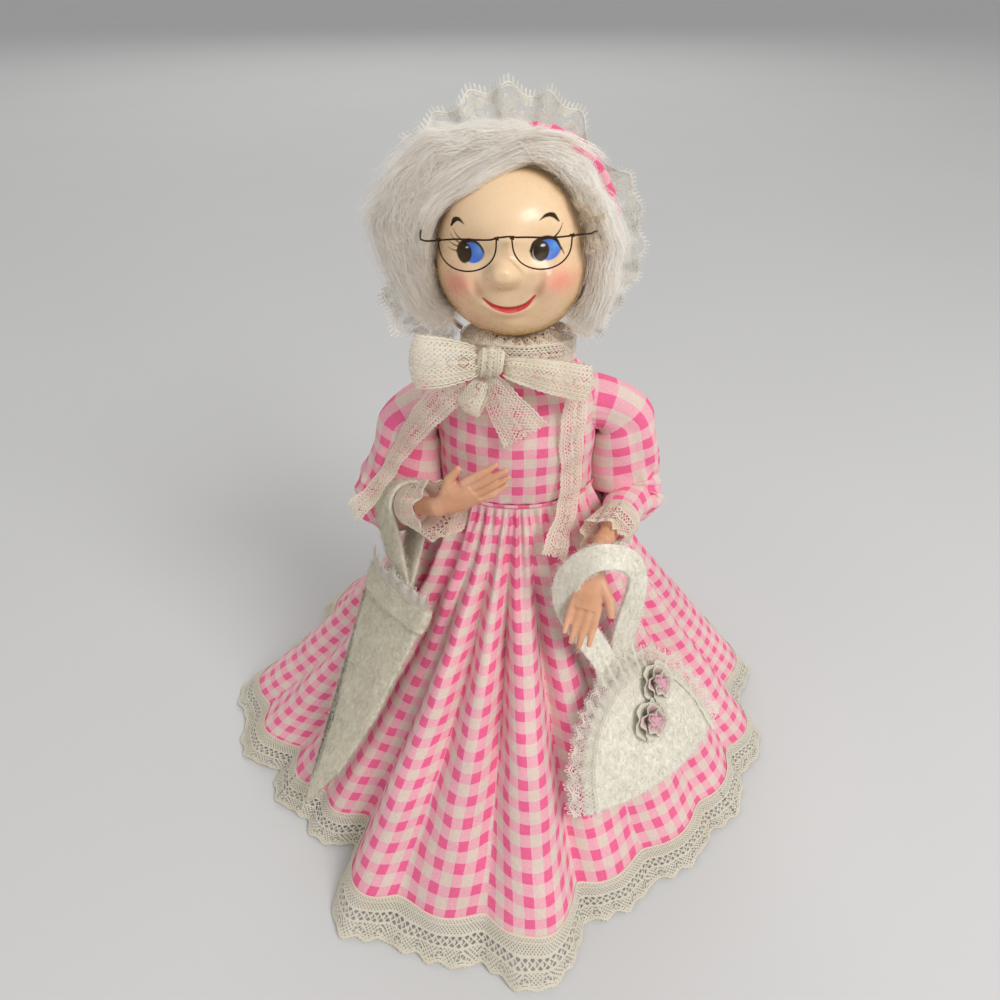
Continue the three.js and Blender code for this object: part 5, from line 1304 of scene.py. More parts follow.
def make_hair():
    def roll(s, t):
        angle, turn = lerp(WIG_ARC[0] + 0.5, WIG_ARC[1] - 0.5, t), 360 * s
        p = wig_point(angle, turn, -0.8)
        close = np.minimum(t, 1 - t) / 0.03
        p = lerp(wig_point(angle, turn, -8.0), p, np.sqrt(np.clip(close, 0.0, 1))[:, None])
        push = 1.0 * wander(p, 19, 31) + 0.5 * wander(p, 8, 32) - 0.9
        centre = (wig_point(angle, 0) + wig_point(angle, 180)) / 2
        return on_head(p + unit(p - centre) * push[:, None])

    base = cloth("hair_roll", 56, 150, roll, WIG_BASE, closed=True)
    wear(base, "head", "mohair", "wig")

    r = np.random.default_rng(17)
    t = np.linspace(0, 1, 11)[None, :]

    def combed(count, first, last, way, lift_by, turns):
        """Guides that follow the roll round the face, each a little wavy."""
        start = r.uniform(first, last, (count, 1))
        run = way * r.uniform(30, 78, (count, 1))
        wave = r.normal(0, 4, (count, 1))
        wave = wave * np.sin(t * r.uniform(3, 6, (count, 1)) + r.uniform(0, 6, (count, 1)))
        angle = np.clip(start + run * t + wave * t, *HAIR_ARC)
        turn = r.uniform(*turns, (count, 1)) + r.normal(6, 26, (count, 1)) * t
        turn = turn + r.normal(0, 12, (count, 1)) * np.sin(t * 5)
        thin = smooth_table(HAIR_STANDS_OFF, angle)
        lift = lift_by * thin * r.uniform(0.1, 1, (count, 1)) ** 1.5 * (0.35 + 0.65 * t)
        p = wig_point(angle.ravel(), turn.ravel(), np.broadcast_to(lift, angle.shape).ravel())
        return p.reshape(count, t.shape[1], 3)

    # Combed down both sides, which are named as they are seen from the front
    left = combed(170, 70, 200, 1, 2.2, (214, 395))
    right = combed(150, -25, 112, -1, 1.6, (218, 395))
    strands("hair_left_side", left, 46, 1.3, 0.24, 21)
    strands("hair_right_side", right, 46, 1.1, 0.24, 22)

    # Fringe swept over the forehead from the doll's right temple up to its left
    count = 96
    sweep = r.uniform(-0.12, 0.5, (count, 1)) + r.uniform(0.45, 0.7, (count, 1)) * t
    angle = lerp(176.0, 62.0, sweep) + r.normal(0, 3, (count, 1)) * np.sin(3 * t)
    radius = smooth_table(FRINGE_EDGE, angle) + r.uniform(0, 1, (count, 1)) ** 1.2 * 12
    radius = radius + np.sin(4 * t + r.uniform(0, 6, (count, 1)))
    x, z = radius * np.cos(np.radians(angle)), radius * np.sin(np.radians(angle))
    out = np.hypot(x / (FACE_HALF[0] + 0.5), z / (FACE_HALF[1] + 0.5))
    over = -FACE_DEPTH * np.sqrt(np.clip(1 - out**2, 0, 1))
    y = np.minimum(over, -19.5 - 2.0 * np.clip(out - 0.9, 0, 0.2)) - 1.4 - r.uniform(0, 2.4, (count, 1))
    fringe = stack(x, y, z)
    strands("hair_fringe", fringe, 46, 1.0, 0.22, 23)

    # Loose wisps that stand off the roll
    wisps = np.concatenate([
        combed(360, 105, 200, 1, 11.0, (280, 400)), combed(160, -40, 60, -1, 5.0, (200, 400))])
    strands("hair_wisps", wisps, 8, 2.6, 0.15, 24)

    # Short curled fluff, teased every way over the whole roll
    count = 15000
    phase = r.uniform(0, 6, (count, 1))
    start = r.uniform(-48, 216, (count, 1))
    turn = r.uniform(205, 400, (count, 1)) + r.normal(0, 34, (count, 1)) * t + 7 * np.sin(7 * t + phase)
    angle = np.clip(start + r.normal(0, 11, (count, 1)) * t + 2.5 * np.sin(8 * t + 2 * phase), -50, 221)
    curl = 0.4 + 2.4 * r.random((count, 1)) ** 1.5 * np.sin(PI * np.clip(t * 1.1, 0, 1))
    p = wig_point(angle.ravel(), turn.ravel(), curl.ravel()).reshape(count, -1, 3)
    strands("hair_fluff", p[:9000], 1, 0.8, 0.17, 25)
    strands("hair_haze", p[9000:], 1, 1.6, 0.13, 26)

    # Tangled curl at the doll's left temple, its brownish tone partly yellowed glue and partly painted shade
    # inside the tangle
    count = 34
    a, radius = r.uniform(0, 36, (2, count, 1))
    middle = np.radians(a - 2)
    far = 39.5 + radius / 6
    p = stack(far * np.cos(middle) + 3.4 * np.sin(7 * t + r.uniform(0, 6, (count, 1))),
              -23.5 - radius / 12 + 1.2 * np.sin(9 * t + r.uniform(0, 6, (count, 1))),
              far * np.sin(middle) + 7 * (t - 0.5) + 3.0 * np.sin(8 * t + r.uniform(0, 6, (count, 1))))
    strands("hair_tangle", p, 4, 0.7, 0.15, 27, TANGLE_GLUE_AND_SHADE)


def round_crown(radius, angle, depth):
    """Points round the crown's axis, which runs from front to back."""
    return stack(radius * np.cos(angle), depth, radius * np.sin(angle) - CROWN_DROP)


def make_bonnet():
    def crown(s, t):
        angle = 2 * PI * s
        lift = (PI / 2) * t
        nape = np.maximum(0, -np.sin(angle)) ** 3
        start = CROWN_START + 0.6 + 14 * nape
        pucker = 1.3 * np.cos(34 * angle + np.sin(5 * angle)) * np.exp(-(t / 0.22) ** 2)
        full = 13 * hill(np.degrees(angle) - 46, 24) * np.sin(PI * np.clip(t * 1.5 + 0.08, 0, 1))
        radius = (CROWN_RADIUS - 10 * nape - 1.2 + pucker + full) * np.cos(lift)
        p = round_crown(radius, angle, lerp(start, CROWN_END - 0.6, np.sin(lift)))
        soft = 0.9 * (wander(p, 24, 41) - 1.0) * np.sin(PI * np.clip(t, 0, 1)) ** 0.5
        return on_head(p + unit(p - vec(0, 10, -CROWN_DROP)) * soft[:, None])

    def print_of(s, t, middle):
        arc = (1 - t) * 80 / CHECK
        return arc * np.cos(2 * PI * s) + 0.3, arc * np.sin(2 * PI * s) + 0.2

    crown_cloth = cloth(
        "bonnet_crown_cloth", 160, 44, lambda s, t: crown(1 - s, t), GINGHAM, print_of, 0.5, closed=True)
    wear(crown_cloth, "head", "gingham", "bonnet_crown")

    # Brim: a gathered edge of the crown that shows past the hair over the doll's left temple
    def brim(s, t):
        degrees = lerp(*BONNET_ARC, s)
        angle, lift = np.radians(degrees), 2 * PI * t
        outer = 0.5 + 0.5 * np.cos(lift)
        radius = CROWN_RADIUS + 0.3 + smooth_table(BRIM, degrees) * outer + 0.35 * np.cos(angle * 42)
        depth = 9.4 + 1.4 * np.sin(lift) + 0.7 * np.sin(angle * 24) * outer
        return on_head(round_crown(radius, angle, depth))

    def brim_print(s, t, middle):
        return s * 22, np.cos(2 * PI * t) * 0.4

    edge = cloth("bonnet_brim", 300, 12, brim, GINGHAM, brim_print, closed=True)
    wear(edge, "head", "gingham")

    wide, repeat = 30.0, 26.0
    long = 19 * repeat

    def place(u, v):
        degrees = lerp(*BONNET_ARC, u / long)
        share = np.maximum(v / wide, 0)
        wave = (3.0 * np.cos(2 * PI * u / 33) + 1.2 * np.cos(2 * PI * u / 14.6 + 1)) * share**0.8
        sway = 1.4 * np.sin(2 * PI * u / 61) * share
        fold = 9.0 * hill(degrees - 46, 14)
        radius = CROWN_RADIUS + 0.5 + (smooth_table(BONNET_LACE, degrees) - fold - 1.2) * share + sway
        # The end beside the doll's right cheek comes forward and stands out
        tail = ease((degrees - 180) / 22) * (1 - 0.6 * ease((degrees - 214) / 18)) * share
        depth = 13 + wave - 2.0 * share**2 - 30.0 * tail
        return on_head(round_crown(radius + 9.0 * tail, np.radians(degrees), depth))

    trim("bonnet_ruffle", picot(long, wide, repeat, 4.0, 1.75, 0.26, 0.17, 0.15), wide, place, PICOT,
         "head", ["bonnet_lace"], flip=True)


def make_glasses():
    reach = FACE_DEPTH + 9 * 0.55

    def bow(x):
        return -reach + (x / BAR_HALF) ** 2 * 4

    def rod(points, radius):
        data = bpy.data.curves.new("spectacle_wire", "CURVE")
        data.dimensions, data.bevel_depth, data.bevel_resolution = "3D", radius * MM, 2
        data.use_fill_caps = True
        line = data.splines.new("NURBS")
        line.points.add(len(points) - 1)
        line.order_u, line.use_endpoint_u, line.resolution_u = 3, True, 6
        for spot, p in zip(line.points, on_head(np.array(points, float))):
            spot.co = (*(p * MM), 1)
        wire = bpy.data.objects.new("spectacle_wire", data)
        bpy.context.collection.objects.link(wire)
        return wire

    wires, bar = [], []
    for x in np.linspace(-BAR_HALF, BAR_HALF, 27):
        bridge = 0.7 if abs(x) < RIM_X - RIM_HALF else 0
        bar.append((x, bow(x) + 0.12 * math.sin(x), BAR_Z + 0.35 * math.sin(x * 0.21) + bridge))
    left_end = [(42.5, -19.0, 8.4), (42.0, -26, 7.2), (40.6, -34, 8.6), (39.4, -38.5, 8.2)]
    right_end = [(-42.0, -19.6, 12.0), (-41.6, -27, 9.6), (-40.2, -35, 7.6), (-39.2, -38.6, 8.2)]
    wires.append(rod(right_end + bar + left_end[::-1], 0.42))
    for side in (-1, 1):
        rim = []
        for q in np.linspace(0, PI, 19):
            x = side * RIM_X - RIM_HALF * math.cos(q)
            rim.append((x, bow(x) - 0.1, BAR_Z - RIM_DROP * math.sin(q) ** 0.75))
        wires.append(rod(rim, 0.38))
        # Each rim is wound on to the bar at both ends
        for x in (side * RIM_X - RIM_HALF, side * RIM_X + RIM_HALF):
            coil = []
            for q in np.linspace(-7, 7, 24):
                coil.append((x + 0.9 * math.cos(q), bow(x) + 0.3 + 0.9 * math.sin(q), BAR_Z + 0.2 + 0.1 * q))
            wires.append(rod(coil, 0.28))
    for wire in wires:
        show_only(wire)
        bpy.ops.object.convert(target="MESH")
    glasses = join(*wires)
    glasses.name = glasses.data.name = "wire_glasses"
    settle(glasses, SPECTACLE)
    wear(glasses, "head", "spectacle_wire", "glasses")


# Lace ribbon at the neck

KNOT = vec(-15, -40.6, 300.0)
RIBBON_REPEAT = 10.2
NECK_RIBBON_WIDE = 13.0
COLLAR_REPEAT, COLLAR_REPEATS, COLLAR_DEEP = 8.0, 26, 21.0
STREAMER_RIGHT = [
    (-27, -40.5, 289), (-39, -36, 278), (-52, -28, 260), (-64, -22.3, 240), (-74, -23.4, 223),
    (-85, -28, 209), (-96, -31, 199),
]
STREAMER_LEFT = [
    (31, -27.5, 277), (30, -29.5, 265), (29, -31.2, 250), (30, -31, 228), (28, -38, 208), (23, -50, 196),
    (20, -58, 188),
]


def band_point(turn, share, inset):
    """Point of the neck band, which is deeper and higher in front."""
    angle = 2 * PI * turn
    front = np.cos(angle)
    depth = np.where(front > 0, 36.0, 25.0) - inset
    return around(31.0 - inset, depth, angle, 284.8 + share * NECK_RIBBON_WIDE + 9 * np.maximum(0, front))


def ribbon_lace(name, route, facing, wide, body, nodes, curl, dome=0.0, blend=None):
    """Lace ribbon along a route; facing gives its outward direction and wide its width by share."""
    long = max(2, round(route.length / RIBBON_REPEAT)) * RIBBON_REPEAT
    mid = wide(0.5)

    def place(u, v):
        share = u / long
        way = route.along(share)
        across = unit(np.cross(facing(share, route.at(share)), way))
        out = unit(np.cross(way, across))
        inside = np.clip(share, 0, 1)
        off = (v / mid - 0.5) * wide(inside)
        swell = dome * (1 - (2 * v / mid - 1) ** 2) * np.abs(np.sin(PI * inside)) ** 0.5
        pleat = 0.25 * dome * np.cos(6 * PI * v / mid) * hill(np.minimum(share, 1 - share), 0.16)
        lift = swell + pleat + curl * np.sin(2 * PI * u / 19 + 2.0 * v / mid)
        return route.at(share) + across * off[:, None] + out * (lift + 0.2)[:, None]

    pattern = insertion(long, mid)
    piece = lace(name, pattern, place, LACE)
    if blend:
        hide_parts(*nodes)
        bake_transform(piece)
    else:
        wear(piece, body, "cream_lace", *nodes)
    lace_sheet(pattern, mid)


def body_facing(share, p):
    """Outwards from the bodice, which is oval."""
    _, wide, deep = BODY[2]
    return unit(p * vec(1 / wide**2, 1 / deep**2, 0))


def make_bow():
    collar = Route(band_point(np.linspace(0.02, 0.98, 40) + 0.5, 0.5, 0.2))
    ribbon_lace("neck_ribbon", collar, lambda s, p: unit(p * vec(1, 1, 0)),
                lambda s: NECK_RIBBON_WIDE + 0 * s, "doll", ["neck_band"], 0.3)

    # Loops: the ribbon runs out from the knot and back under itself
    def loop(name, length, depth, towards, rise, node, dome, full):
        along = unit(vec(*towards))
        up = vec(0, 0.35, 0.94)
        up = unit(up - along * (along @ up))
        across = np.cross(up, along)
        start = KNOT + along * 7.3 + vec(0, 0, rise)
        points = []
        for q in np.linspace(0, 2 * PI, 26):
            far = (length / 2 - 0.5) * (1 - math.cos(q)) + 0.5
            swell = -(depth / 2 - 0.5) * math.sin(q) * (0.55 + 0.45 * far / length)
            points.append(start + along * far + across * swell)
        route = Route(points)

        def facing(share, p):
            way = route.along(share)
            return unit(np.cross(way, np.broadcast_to(up, way.shape)))

        def wide(share):
            return full * (0.45 + 0.55 * np.abs(np.sin(PI * share)) ** 0.6)

        ribbon_lace(name, route, facing, wide, "doll", [node] if node else [], 0.7, dome)

    loop("bow_loop_right_lace", 30, 15, (-0.985, -0.15, 0.06), 0.5, "bow_loop_right", 4.0, 27.0)
    loop("bow_loop_left_lace", 44, 9, (0.98, -0.02, -0.2), -1.5, "bow_loop_left", 2.4, 18.5)
    loop("bow_small_loop_lace", 17, 8, (-0.45, -0.1, -0.85), -4.0, None, 1.6, 13.0)

    # Frill that fills the collar under the chin
    inside = COLLAR_REPEATS * COLLAR_REPEAT

    def frill(u, v):
        edge_point = band_point(u / inside, 0.86, 0.7)
        middle = edge_point * vec(0.22, 0.22, 0) + vec(0, -3, 300.5)
        share = v / COLLAR_DEEP
        p = lerp(edge_point, middle, share[:, None])
        rise = np.cos(2 * PI * u / COLLAR_REPEAT) + 6.0 * np.abs(np.sin(2 * PI * u / inside)) ** 1.5
        p[:, 2] += rise * np.sin(PI * np.clip(share, 0, 1) ** 0.8)
        # Pressed down at the back, under the bonnet
        p[:, 2] -= 5.0 * np.clip(edge_point[:, 1] / 16, 0, 1) * ease(share * 2.5)
        return p

    trim("collar_frill", torchon(inside, COLLAR_DEEP, COLLAR_REPEAT), COLLAR_DEEP, frill, LACE, "doll", [])

    def knot(s, t):
        angle, lift = 2 * PI * s, PI * (t - 0.5)
        p = globe(s, t, 6.6, 5.2, 6.8)
        folds = 0.5 * np.sin(6 * angle + 2 * np.sin(2 * lift)) * np.cos(lift) + 0.3 * wander(p, 4, 51)
        return KNOT + p * (1 + (folds - 0.4) / 7)[:, None]

    tie = cloth("bow_knot_lace", 64, 40, knot, LACE, closed=True)
    wear(tie, "doll", "cream_lace", "bow_knot")

    # The ribbon's own turns over the knot
    long, across = 9 * RIBBON_REPEAT, 12.0

    def wound(u, v):
        angle = 4 * PI * u / long
        side = 2 * v / across - 1
        radius = 7.6 * np.sqrt(1 - 0.55 * np.clip(side, -1, 1) ** 2) + 0.5 * np.cos(3 * PI * side)
        radius = radius + 0.35 * u / long
        x = 6.4 * side + 0.8 * np.sin(angle)
        return KNOT + stack(x, -0.8 * radius * np.cos(angle), radius * np.sin(angle))

    trim("bow_knot_turns", insertion(long, across), across, wound, LACE, "doll", [],
         flip=True)

    # Ends of the ribbon: a short one from the knot and two long ones
    tail = Route([KNOT + vec(-1, 0, -8.2), KNOT + vec(8, -0.5, -25), KNOT + vec(19, 0, -43)])
    ribbon_lace("bow_tail_lace", tail, body_facing, lambda s: lerp(10.5, 28.0, s**0.7),
                "doll", ["bow_tail"], 0.4, 1.6)
    ribbon_lace("streamer_right_lace", Route(STREAMER_RIGHT), body_facing,
                lambda s: 16.0 + 1.4 * np.sin(7 * s), None, ["streamer_right"], 0.5, 0.8,
                blend=("doll", "right_upper_arm", (-0.030, -0.040, 0.287), (-0.060, -0.024, 0.248)))
    ribbon_lace("streamer_left_lace", Route(STREAMER_LEFT), body_facing,
                lambda s: 16.0 + 1.6 * np.sin(6 * s + 1), "doll", ["streamer_left"], 0.5, 0.8)


# Places on the skirt for the handbag and the parasol

# Handbag: its place, half width and height, the power that squares its arch and the height of its middle
BAG_AZIMUTH, BAG_Z = 38.0, 58.0
BAG_HALF, BAG_TALL, BAG_ARCH, BAG_MIDDLE = 52, 72, 0.8, 28.8
BAG_FRILL_WIDE, BAG_FRILL_REPEAT, BAG_FRILL_REPEATS = 17.0, 12.0, 28
# Name of each rosette, its place on the bag and the height of the felt under it
ROSETTES = [("upper", 15.6, 57.0, 8.0), ("lower", 0.0, 40.0, 9.1)]
ROSETTE_COILS, ROSETTE_WIDE, ROSETTE_REPEAT, ROSETTE_REPEATS = 2.6, 10.0, 5.0, 26
BAG_STRAP_WIDE, PARASOL_STRAP_WIDE, STRAP_THICK = 15.0, 18.0, 3.0

# Parasol: azimuth and height of its mouth and tip
PARASOL_AZIMUTH, PARASOL_Z = (-57.0, -47.0), (150.0, 28.0)
# Half the width of its mouth and tip, the power of its taper, and how far the felt runs past the tip
PARASOL_HALF, PARASOL_TIP, PARASOL_TAPER, PARASOL_PAST = 30.5, 1.5, 0.8, 1.05
PARASOL_LACE_WIDE, PARASOL_LACE_REPEAT, PARASOL_LACE_REPEATS = 14.0, 9.0, 16
PARASOL_STITCHES = 58
# Radius of the parasol strap's loop round the sleeve
STRAP_LOOP = 13.0


def on_skirt(azimuth, z, lift):
    """Point over the skirt's plain cone, with its outward and downward directions."""
    drop = (SKIRT_TOP - z) / (SKIRT_TOP - HEM_Z)
    angle = np.radians(azimuth)

    def point(d):
        radius = skirt_radius(d, azimuth)
        return around(radius, radius, angle, lerp(SKIRT_TOP, HEM_Z, d))

    here = point(drop)
    fall = unit(point(drop + 0.02) - here)
    side = stack(np.cos(angle), np.sin(angle), 0 * angle)
    normal = unit(np.cross(fall, side))
    return here + normal * np.asarray(lift)[..., None], normal, fall


BAG_AT, BAG_NORMAL, BAG_FALL = (q[0] for q in on_skirt(vec(BAG_AZIMUTH), vec(BAG_Z), vec(0)))
BAG_SPREAD = math.hypot(BAG_AT[0], BAG_AT[1])


def bag_point(u, v, h):
    """u runs round the skirt, v up its slope and h outwards."""
    u, v, h = np.broadcast_arrays(np.asarray(u, float), np.asarray(v, float), np.asarray(h, float))
    p, _, _ = on_skirt(np.full(u.shape, BAG_AZIMUTH), BAG_Z - v * BAG_FALL[2], 6.0 + h)
    turn = u / BAG_SPREAD
    c, q = np.cos(turn), np.sin(turn)
    return stack(p[..., 0] * c - p[..., 1] * q, p[..., 0] * q + p[..., 1] * c, p[..., 2])


def bag_arch(angle):
    return BAG_HALF * np.cos(angle), BAG_TALL * np.abs(np.sin(angle)) ** BAG_ARCH


def bag_outline(t):
    """The arch, then the straight base back to its start."""
    arch = 0.72
    u, v = bag_arch(PI * np.clip(t / arch, 0, 1))
    base = t > arch
    return np.where(base, lerp(-BAG_HALF, BAG_HALF, (t - arch) / (1 - arch)), u), np.where(base, 0.0, v)


def squared(wave, power):
    """A sine or cosine with its round turned towards a square, sign kept."""
    return np.sign(wave) * np.abs(wave) ** power


def strap_band(name, route, facing, wide, body, node):
    """Felt strap: a soft flat band with rounded edges."""
    def shape(s, share):
        way = route.along(share)
        across = unit(np.cross(facing(share), way))
        out = unit(np.cross(way, across))
        angle = 2 * PI * s
        half = wide / 2 + 0.5 * np.sin(9 * share + 1)
        x = half * squared(np.cos(angle), 0.5)
        y = STRAP_THICK / 2 * squared(np.sin(angle), 0.6) + 0.35 * np.sin(14 * share + x * 0.3)
        return route.at(share) + across * x[:, None] + out * y[:, None]

    # The parasol's strap takes the darker, beiger copy of the felt
    felt, fibre = (DARKER_FELT, DARKER_FIBRE) if body == "parasol" else (FELT, FELT_FIBRE)
    strap = cloth(name, 28, 110, shape, felt, closed=True)
    wear(strap, body, "white_felt", node)
    fuzz(name + "_fibres", strap, body, 7000, 0.15, fibre, len(name), 0.45)


def edge_threads(long, wide):
    """Pink threads worked along the outer edge of the rosette lace."""
    work = Pattern(long)
    for share, wave in ((0.46, 3.4), (0.62, 3.1), (0.78, 2.6)):
        work.cord(lambda u, s=share, w=wave: s * wide + 0.45 * np.sin(2 * PI * u / w), 0.7, rise=0.35)
    return work


def make_bag():
    def side(way):
        """Front of the bag, or its back where way is -1: a pillow between the edges."""
        def shape(s, t):
            u, v = bag_outline(s)
            u, v = lerp(0.0, u, t), lerp(BAG_MIDDLE, v, t)
            h = 4.5 + way * (1.5 + 3.0 * (1 - t**3))
            lumps = 0.35 * wander(bag_point(u, v, h), 18, 61) * (1 - t**6)
            return bag_point(u, v, h + way * (lumps - 0.3))
        return shape

    front = cloth("bag_front_felt", 150, 40, side(1), FELT, closed=True)
    back = cloth("bag_back_felt", 150, 24, side(-1), FELT, closed=True)
    edit_all(back, bpy.ops.mesh.flip_normals)
    bag = join(front, back)
    close_edges(bag, bpy.ops.mesh.bridge_edge_loops)
    bag.name = bag.data.name = "bag_felt"
    settle(bag, FELT)
    wear(bag, "handbag", "white_felt", "bag_body")
    fuzz("bag_fibres", bag, "handbag", 16000, 0.14, FELT_FIBRE, 62, 0.4)

    wide, repeat = BAG_FRILL_WIDE, BAG_FRILL_REPEAT
    long = BAG_FRILL_REPEATS * repeat

    def frill(u, v):
        angle = PI * (u / long)
        share = np.maximum(v / wide, 0)
        au, av = bag_arch(angle)
        out = -7.0 + share * (wide + 2.5)
        wave = (1.3 * np.cos(2 * PI * u / 15.5) + 0.6 * np.cos(2 * PI * u / 37)) * (0.3 + share)
        height = lerp(8.0, 5.6, ease(share * 1.8)) + wave + 0.3
        return bag_point(au + out * np.cos(angle), av + out * np.sin(angle), height)

    trim("bag_frill", picot(long, wide, repeat, 2.8, 2.9, 0.44, 0.12, 0.3), wide, frill, PICOT, "handbag",
         ["bag_lace"], flip=True)
    for place in ROSETTES:
        make_rosette(*place)
    make_bag_strap()


def make_rosette(name, u, v, felt):
    """A ribbon coiled from a bud outwards, with lace and pink threads on it."""
    strip, length = ROSETTE_WIDE, ROSETTE_REPEATS * ROSETTE_REPEAT

    def petal(a, b):
        share = a / length
        turn = 2 * PI * ROSETTE_COILS * share
        lean = lerp(0.42, 1.27, share)
        ruff = (1.4 * np.cos(2 * PI * a / 9.0) + 0.5 * np.cos(2 * PI * a / 4.1)) * b / strip
        radius = 1.8 + 2.4 * share + b * np.sin(lean) + ruff * np.cos(lean)
        rise = felt + b * np.cos(lean) - ruff * np.sin(lean)
        return bag_point(u + radius * np.cos(turn), v + radius * np.sin(turn), rise)

    ribbon = cloth(
        f"rosette_{name}_strip", 300, 8, lambda s, t: petal(s * length, t * strip), PICOT, thick=0.2)
    wear(ribbon, "handbag", "rosette_lace", f"bag_rosette_{name}")
    pattern = picot(length, strip, ROSETTE_REPEAT, 1.8, 1.6, 0.5)
    edging = lace(f"rosette_{name}_lace", pattern, petal, PICOT, flip=True)
    wear(edging, "handbag", "rosette_lace")
    lace_sheet(pattern, strip)
    piping = lace(f"rosette_{name}_piping", edge_threads(0.6 * length, strip), petal, PINK_THREAD, flip=True)
    wear(piping, "handbag", "rosette_lace")

    def heart(s, t):
        angle = 2 * PI * s
        radius = 4.2 * t * (1 + 0.2 * np.cos(5 * angle))
        dome = 4.8 * np.sqrt(np.clip(1 - 0.85 * t * t, 0, 1))
        rise = felt + 2.4 + dome + 0.9 * np.sin(5 * angle + 11 * t) * t
        return bag_point(u + radius * np.cos(angle), v + radius * np.sin(angle), rise)

    bud = cloth(f"rosette_{name}_heart", 60, 16, heart, PINK_THREAD, closed=True)
    wear(bud, "handbag", "rosette_lace")


def make_bag_strap():
    """Strap from behind the bag's arch, over the wrist and back."""
    wrist = PLACES["left"]["wrist"]

    def behind(u, past):
        highest = max(0.0, abs(u) - 7)
        top = BAG_TALL * math.sin(math.acos(highest / BAG_HALF)) ** BAG_ARCH
        return bag_point(u, top + past, 2.2)

    over = [(20, -6, -27), (14, -9, -8), (-1, -13, -1), (-14, -12, -9), (-20, -11, -25), (-15, -12, -45)]
    over = [wrist + vec(*p) for p in over]
    route = Route([behind(6, 0.6), behind(6, 14.0), *over, behind(-17, 14.0), behind(-17, 0.6)])
    wrist_facing = vec(0, -0.9, 0.43)

    def facing(share):
        blend = np.sin(PI * share)[:, None]
        outward = unit(route.at(share) - (wrist + vec(-2, -10, -26)))
        return unit(lerp(BAG_NORMAL, wrist_facing, blend) + 0.7 * blend**2 * outward)

    strap_band("bag_strap_felt", route, facing, BAG_STRAP_WIDE, "handbag", "bag_strap")


def parasol_at(share):
    """Point on the parasol's middle line, with its outward and downward directions."""
    share = np.asarray(share, float)
    return on_skirt(lerp(*PARASOL_AZIMUTH, share), lerp(*PARASOL_Z, share), np.full(share.shape, 10.0))


def parasol_ways(share, before):
    """Directions along, across and out of the parasol; before is the share just above."""
    normal = parasol_at(share)[1]
    along = unit(parasol_at(share + 0.03)[0] - parasol_at(before)[0])
    return along, unit(np.cross(along, normal)), normal


def parasol_half(share):
    return PARASOL_HALF * (1 - share / PARASOL_PAST) ** PARASOL_TAPER + PARASOL_TIP


def parasol_hook(share):
    """Sideways run of the tip, which curls to the doll's right."""
    return 9.0 * ease((share - 0.5) / 0.6) + 6.5 * ease((share - 0.84) / 0.2)


def make_parasol():
    def canopy(s, t):
        share = PARASOL_PAST * t
        _, across, normal = parasol_ways(share, np.maximum(0, share - 0.03))
        # The mouth has a folded band, and stitches pull the edges in
        band = 2.4 * ease((0.112 - share) / 0.008)
        wide = PARASOL_HALF * (1 - t) ** PARASOL_TAPER + PARASOL_TIP + band
        thick = 6 * (1 - 0.75 * share) + band * 0.6
        angle = 2 * PI * s
        ca, sa = np.cos(angle), np.sin(angle)
        wave = 0.35 * np.sin(share * 150) * (np.abs(ca) > 0.985)
        x, y = (wide + wave) * ca, thick * squared(sa, 0.85)
        p = parasol_at(share)[0] + across * (x + parasol_hook(share))[:, None] + normal * y[:, None]
        return p + normal * (0.4 * wander(p, 22, 71) - 0.4)[:, None] * np.sign(sa)[:, None]

    # The parasol takes the darker, beiger copy of the felt
    felt = cloth("parasol_felt", 96, 150, lambda s, t: canopy(1 - s, t), DARKER_FELT, closed=True)
    close_edges(felt, bpy.ops.mesh.edge_face_add)
    settle(felt, DARKER_FELT)
    wear(felt, "parasol", "white_felt", "parasol_canopy")
    fuzz("parasol_fibres", felt, "parasol", 15000, 0.14, DARKER_FIBRE, 72, 0.4)

    # Whip stitches over the edge on the doll's right
    r = np.random.default_rng(73)
    at = np.linspace(0.13, 0.97, PARASOL_STITCHES) + r.normal(0, 0.002, PARASOL_STITCHES)
    along, across, normal = (way[:, None] for way in parasol_ways(at, at - 0.03))
    edge = parasol_at(at)[0][:, None] + across * (parasol_half(at) + parasol_hook(at))[:, None, None]
    q = np.linspace(-0.9, 1.1, 7)[:, None]
    lines = edge + across * (0.8 * np.cos(q) - 0.32) + normal * (1.5 * np.sin(q)) + along * (0.7 * q)
    stitches = hairs("parasol_stitches", lines, [0.5] * len(q), STITCH)
    thicken(stitches, 0.3)
    wear(stitches, "parasol", "white_felt")

    top, top_normal, _ = (k[0] for k in parasol_at(vec(0)))
    up = unit(top - parasol_at(vec(0.03))[0][0])
    side = unit(np.cross(up, top_normal))
    wide, repeat = PARASOL_LACE_WIDE, PARASOL_LACE_REPEAT
    long = PARASOL_LACE_REPEATS * repeat

    def stand(u, v):
        angle = PI * lerp(0.06, 0.94, u / long)
        share = v / wide
        wave = 2.0 * np.cos(2 * PI * u / 17) * share
        spread = (PARASOL_HALF + 1.0 + 2.0 * share) * np.cos(angle)
        lean = (6.8 + wave) * np.sin(angle) + 3.0 * share
        rise = v * 0.9 - 0.8 + 1.8 * np.sin(2 * PI * u / 31) * share
        return top + side * spread[:, None] + top_normal * lean[:, None] + up * rise[:, None]

    trim("parasol_frill", picot(long, wide, repeat, 3.4, 1.8, 0.5, 0.16, 0.25), wide, stand, PICOT, "parasol",
         ["parasol_lace"], flip=True)
    make_parasol_strap(top, top_normal, up)


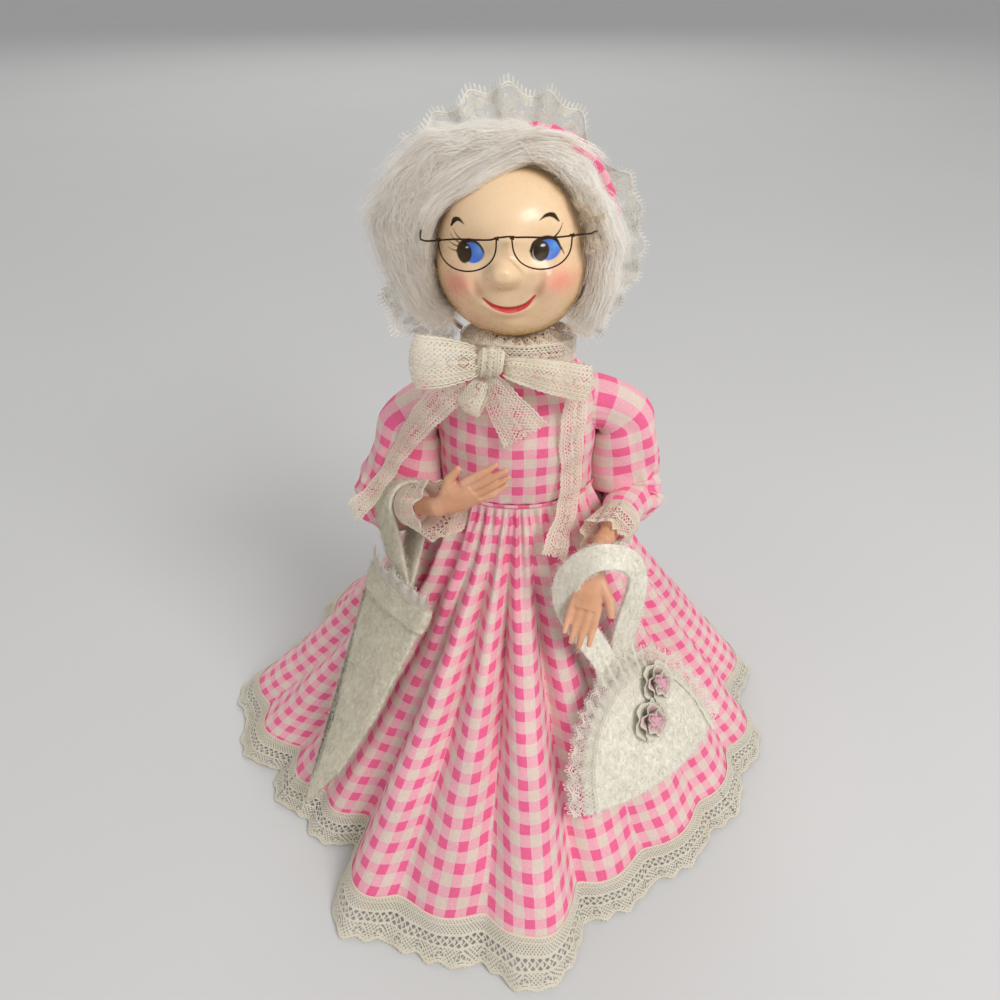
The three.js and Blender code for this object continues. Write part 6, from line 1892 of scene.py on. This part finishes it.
def make_parasol_strap(top, top_normal, up):
    """Drop-shaped loop from the parasol's mouth round the forearm."""
    a = PLACES["right"]
    hook_at = a["elbow"] + a["forearm"] * 37
    hang = top + up * 3.0 - hook_at
    lean = hang @ a["forearm"]
    down = hang - a["forearm"] * lean
    reach = np.linalg.norm(down)
    down = down / reach
    cross = np.cross(a["forearm"], down)
    points = []
    for q in np.linspace(0, 2 * PI, 40):
        low = max(0.0, math.cos(q))
        far = STRAP_LOOP * math.cos(q) + low**1.5 * (reach - STRAP_LOOP)
        wide = STRAP_LOOP * math.sin(q) * lerp(1, 0.28, low**1.5)
        points.append(hook_at + down * far + cross * wide + a["forearm"] * (far * lean / reach))
    route = Route(points)

    def facing(share):
        """Square to the forearm over the top, turned flat to the front where it hangs."""
        round_arm = unit(np.cross(a["forearm"], route.along(share)))
        flat = top_normal * np.where(round_arm @ top_normal < 0, -1, 1)[:, None]
        return unit(lerp(round_arm, flat, 0.9 * ease((np.abs(2 * share - 1) - 0.2) / 0.35)[:, None]))

    strap_band(
        "parasol_strap_felt", route, facing, PARASOL_STRAP_WIDE, "parasol", "parasol_strap")


# CAD pieces that show as they are

def dress_frame():
    glass = plain_finish(
        "green_bottle_glass", shade(96, 132, 92), shade(120, 156, 112), 30, (0.04, 0.1), 0.05,
        Transmission_Weight=0.85, IOR=1.5)
    cap = plain_finish("black_screw_cap", shade(24, 24, 24), shade(46, 44, 42), 300, (0.35, 0.55), 0.1)
    buckram = plain_finish(
        "stiffened_buckram", shade(176, 158, 126), shade(206, 190, 158), 900, (0.85, 0.98), 0.3)
    wood = plain_finish(
        "turned_dowel", shade(178, 138, 92), shade(214, 178, 130), 160, (0.5, 0.7), 0.1, stretch=(1, 1, 0.06))
    wire = plain_finish(
        "annealed_arm_wire", shade(96, 90, 84), shade(138, 132, 124), 500, (0.3, 0.5), 0.05, Metallic=0.9)
    finishes = dict(bottle=glass, bottle_cap=cap, torso_form=buckram, neck_post=wood)
    for arm in ARMS:
        finishes[f"{arm}_upper_arm_wire"] = finishes[f"{arm}_forearm_wire"] = wire
    for node, finish in finishes.items():
        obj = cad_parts[node]
        if obj.material_slots:
            for slot in obj.material_slots:
                slot.material = finish
        else:
            obj.data.materials.append(finish)


skirt = make_skirt()
make_hem_lace()
make_bodice()
for arm in ARMS:
    make_sleeve(arm)
    make_cuff(arm)
    make_hand(arm)
make_face()
make_hair()
make_bonnet()
make_glasses()
make_bow()
make_bag()
make_parasol()
dress_frame()
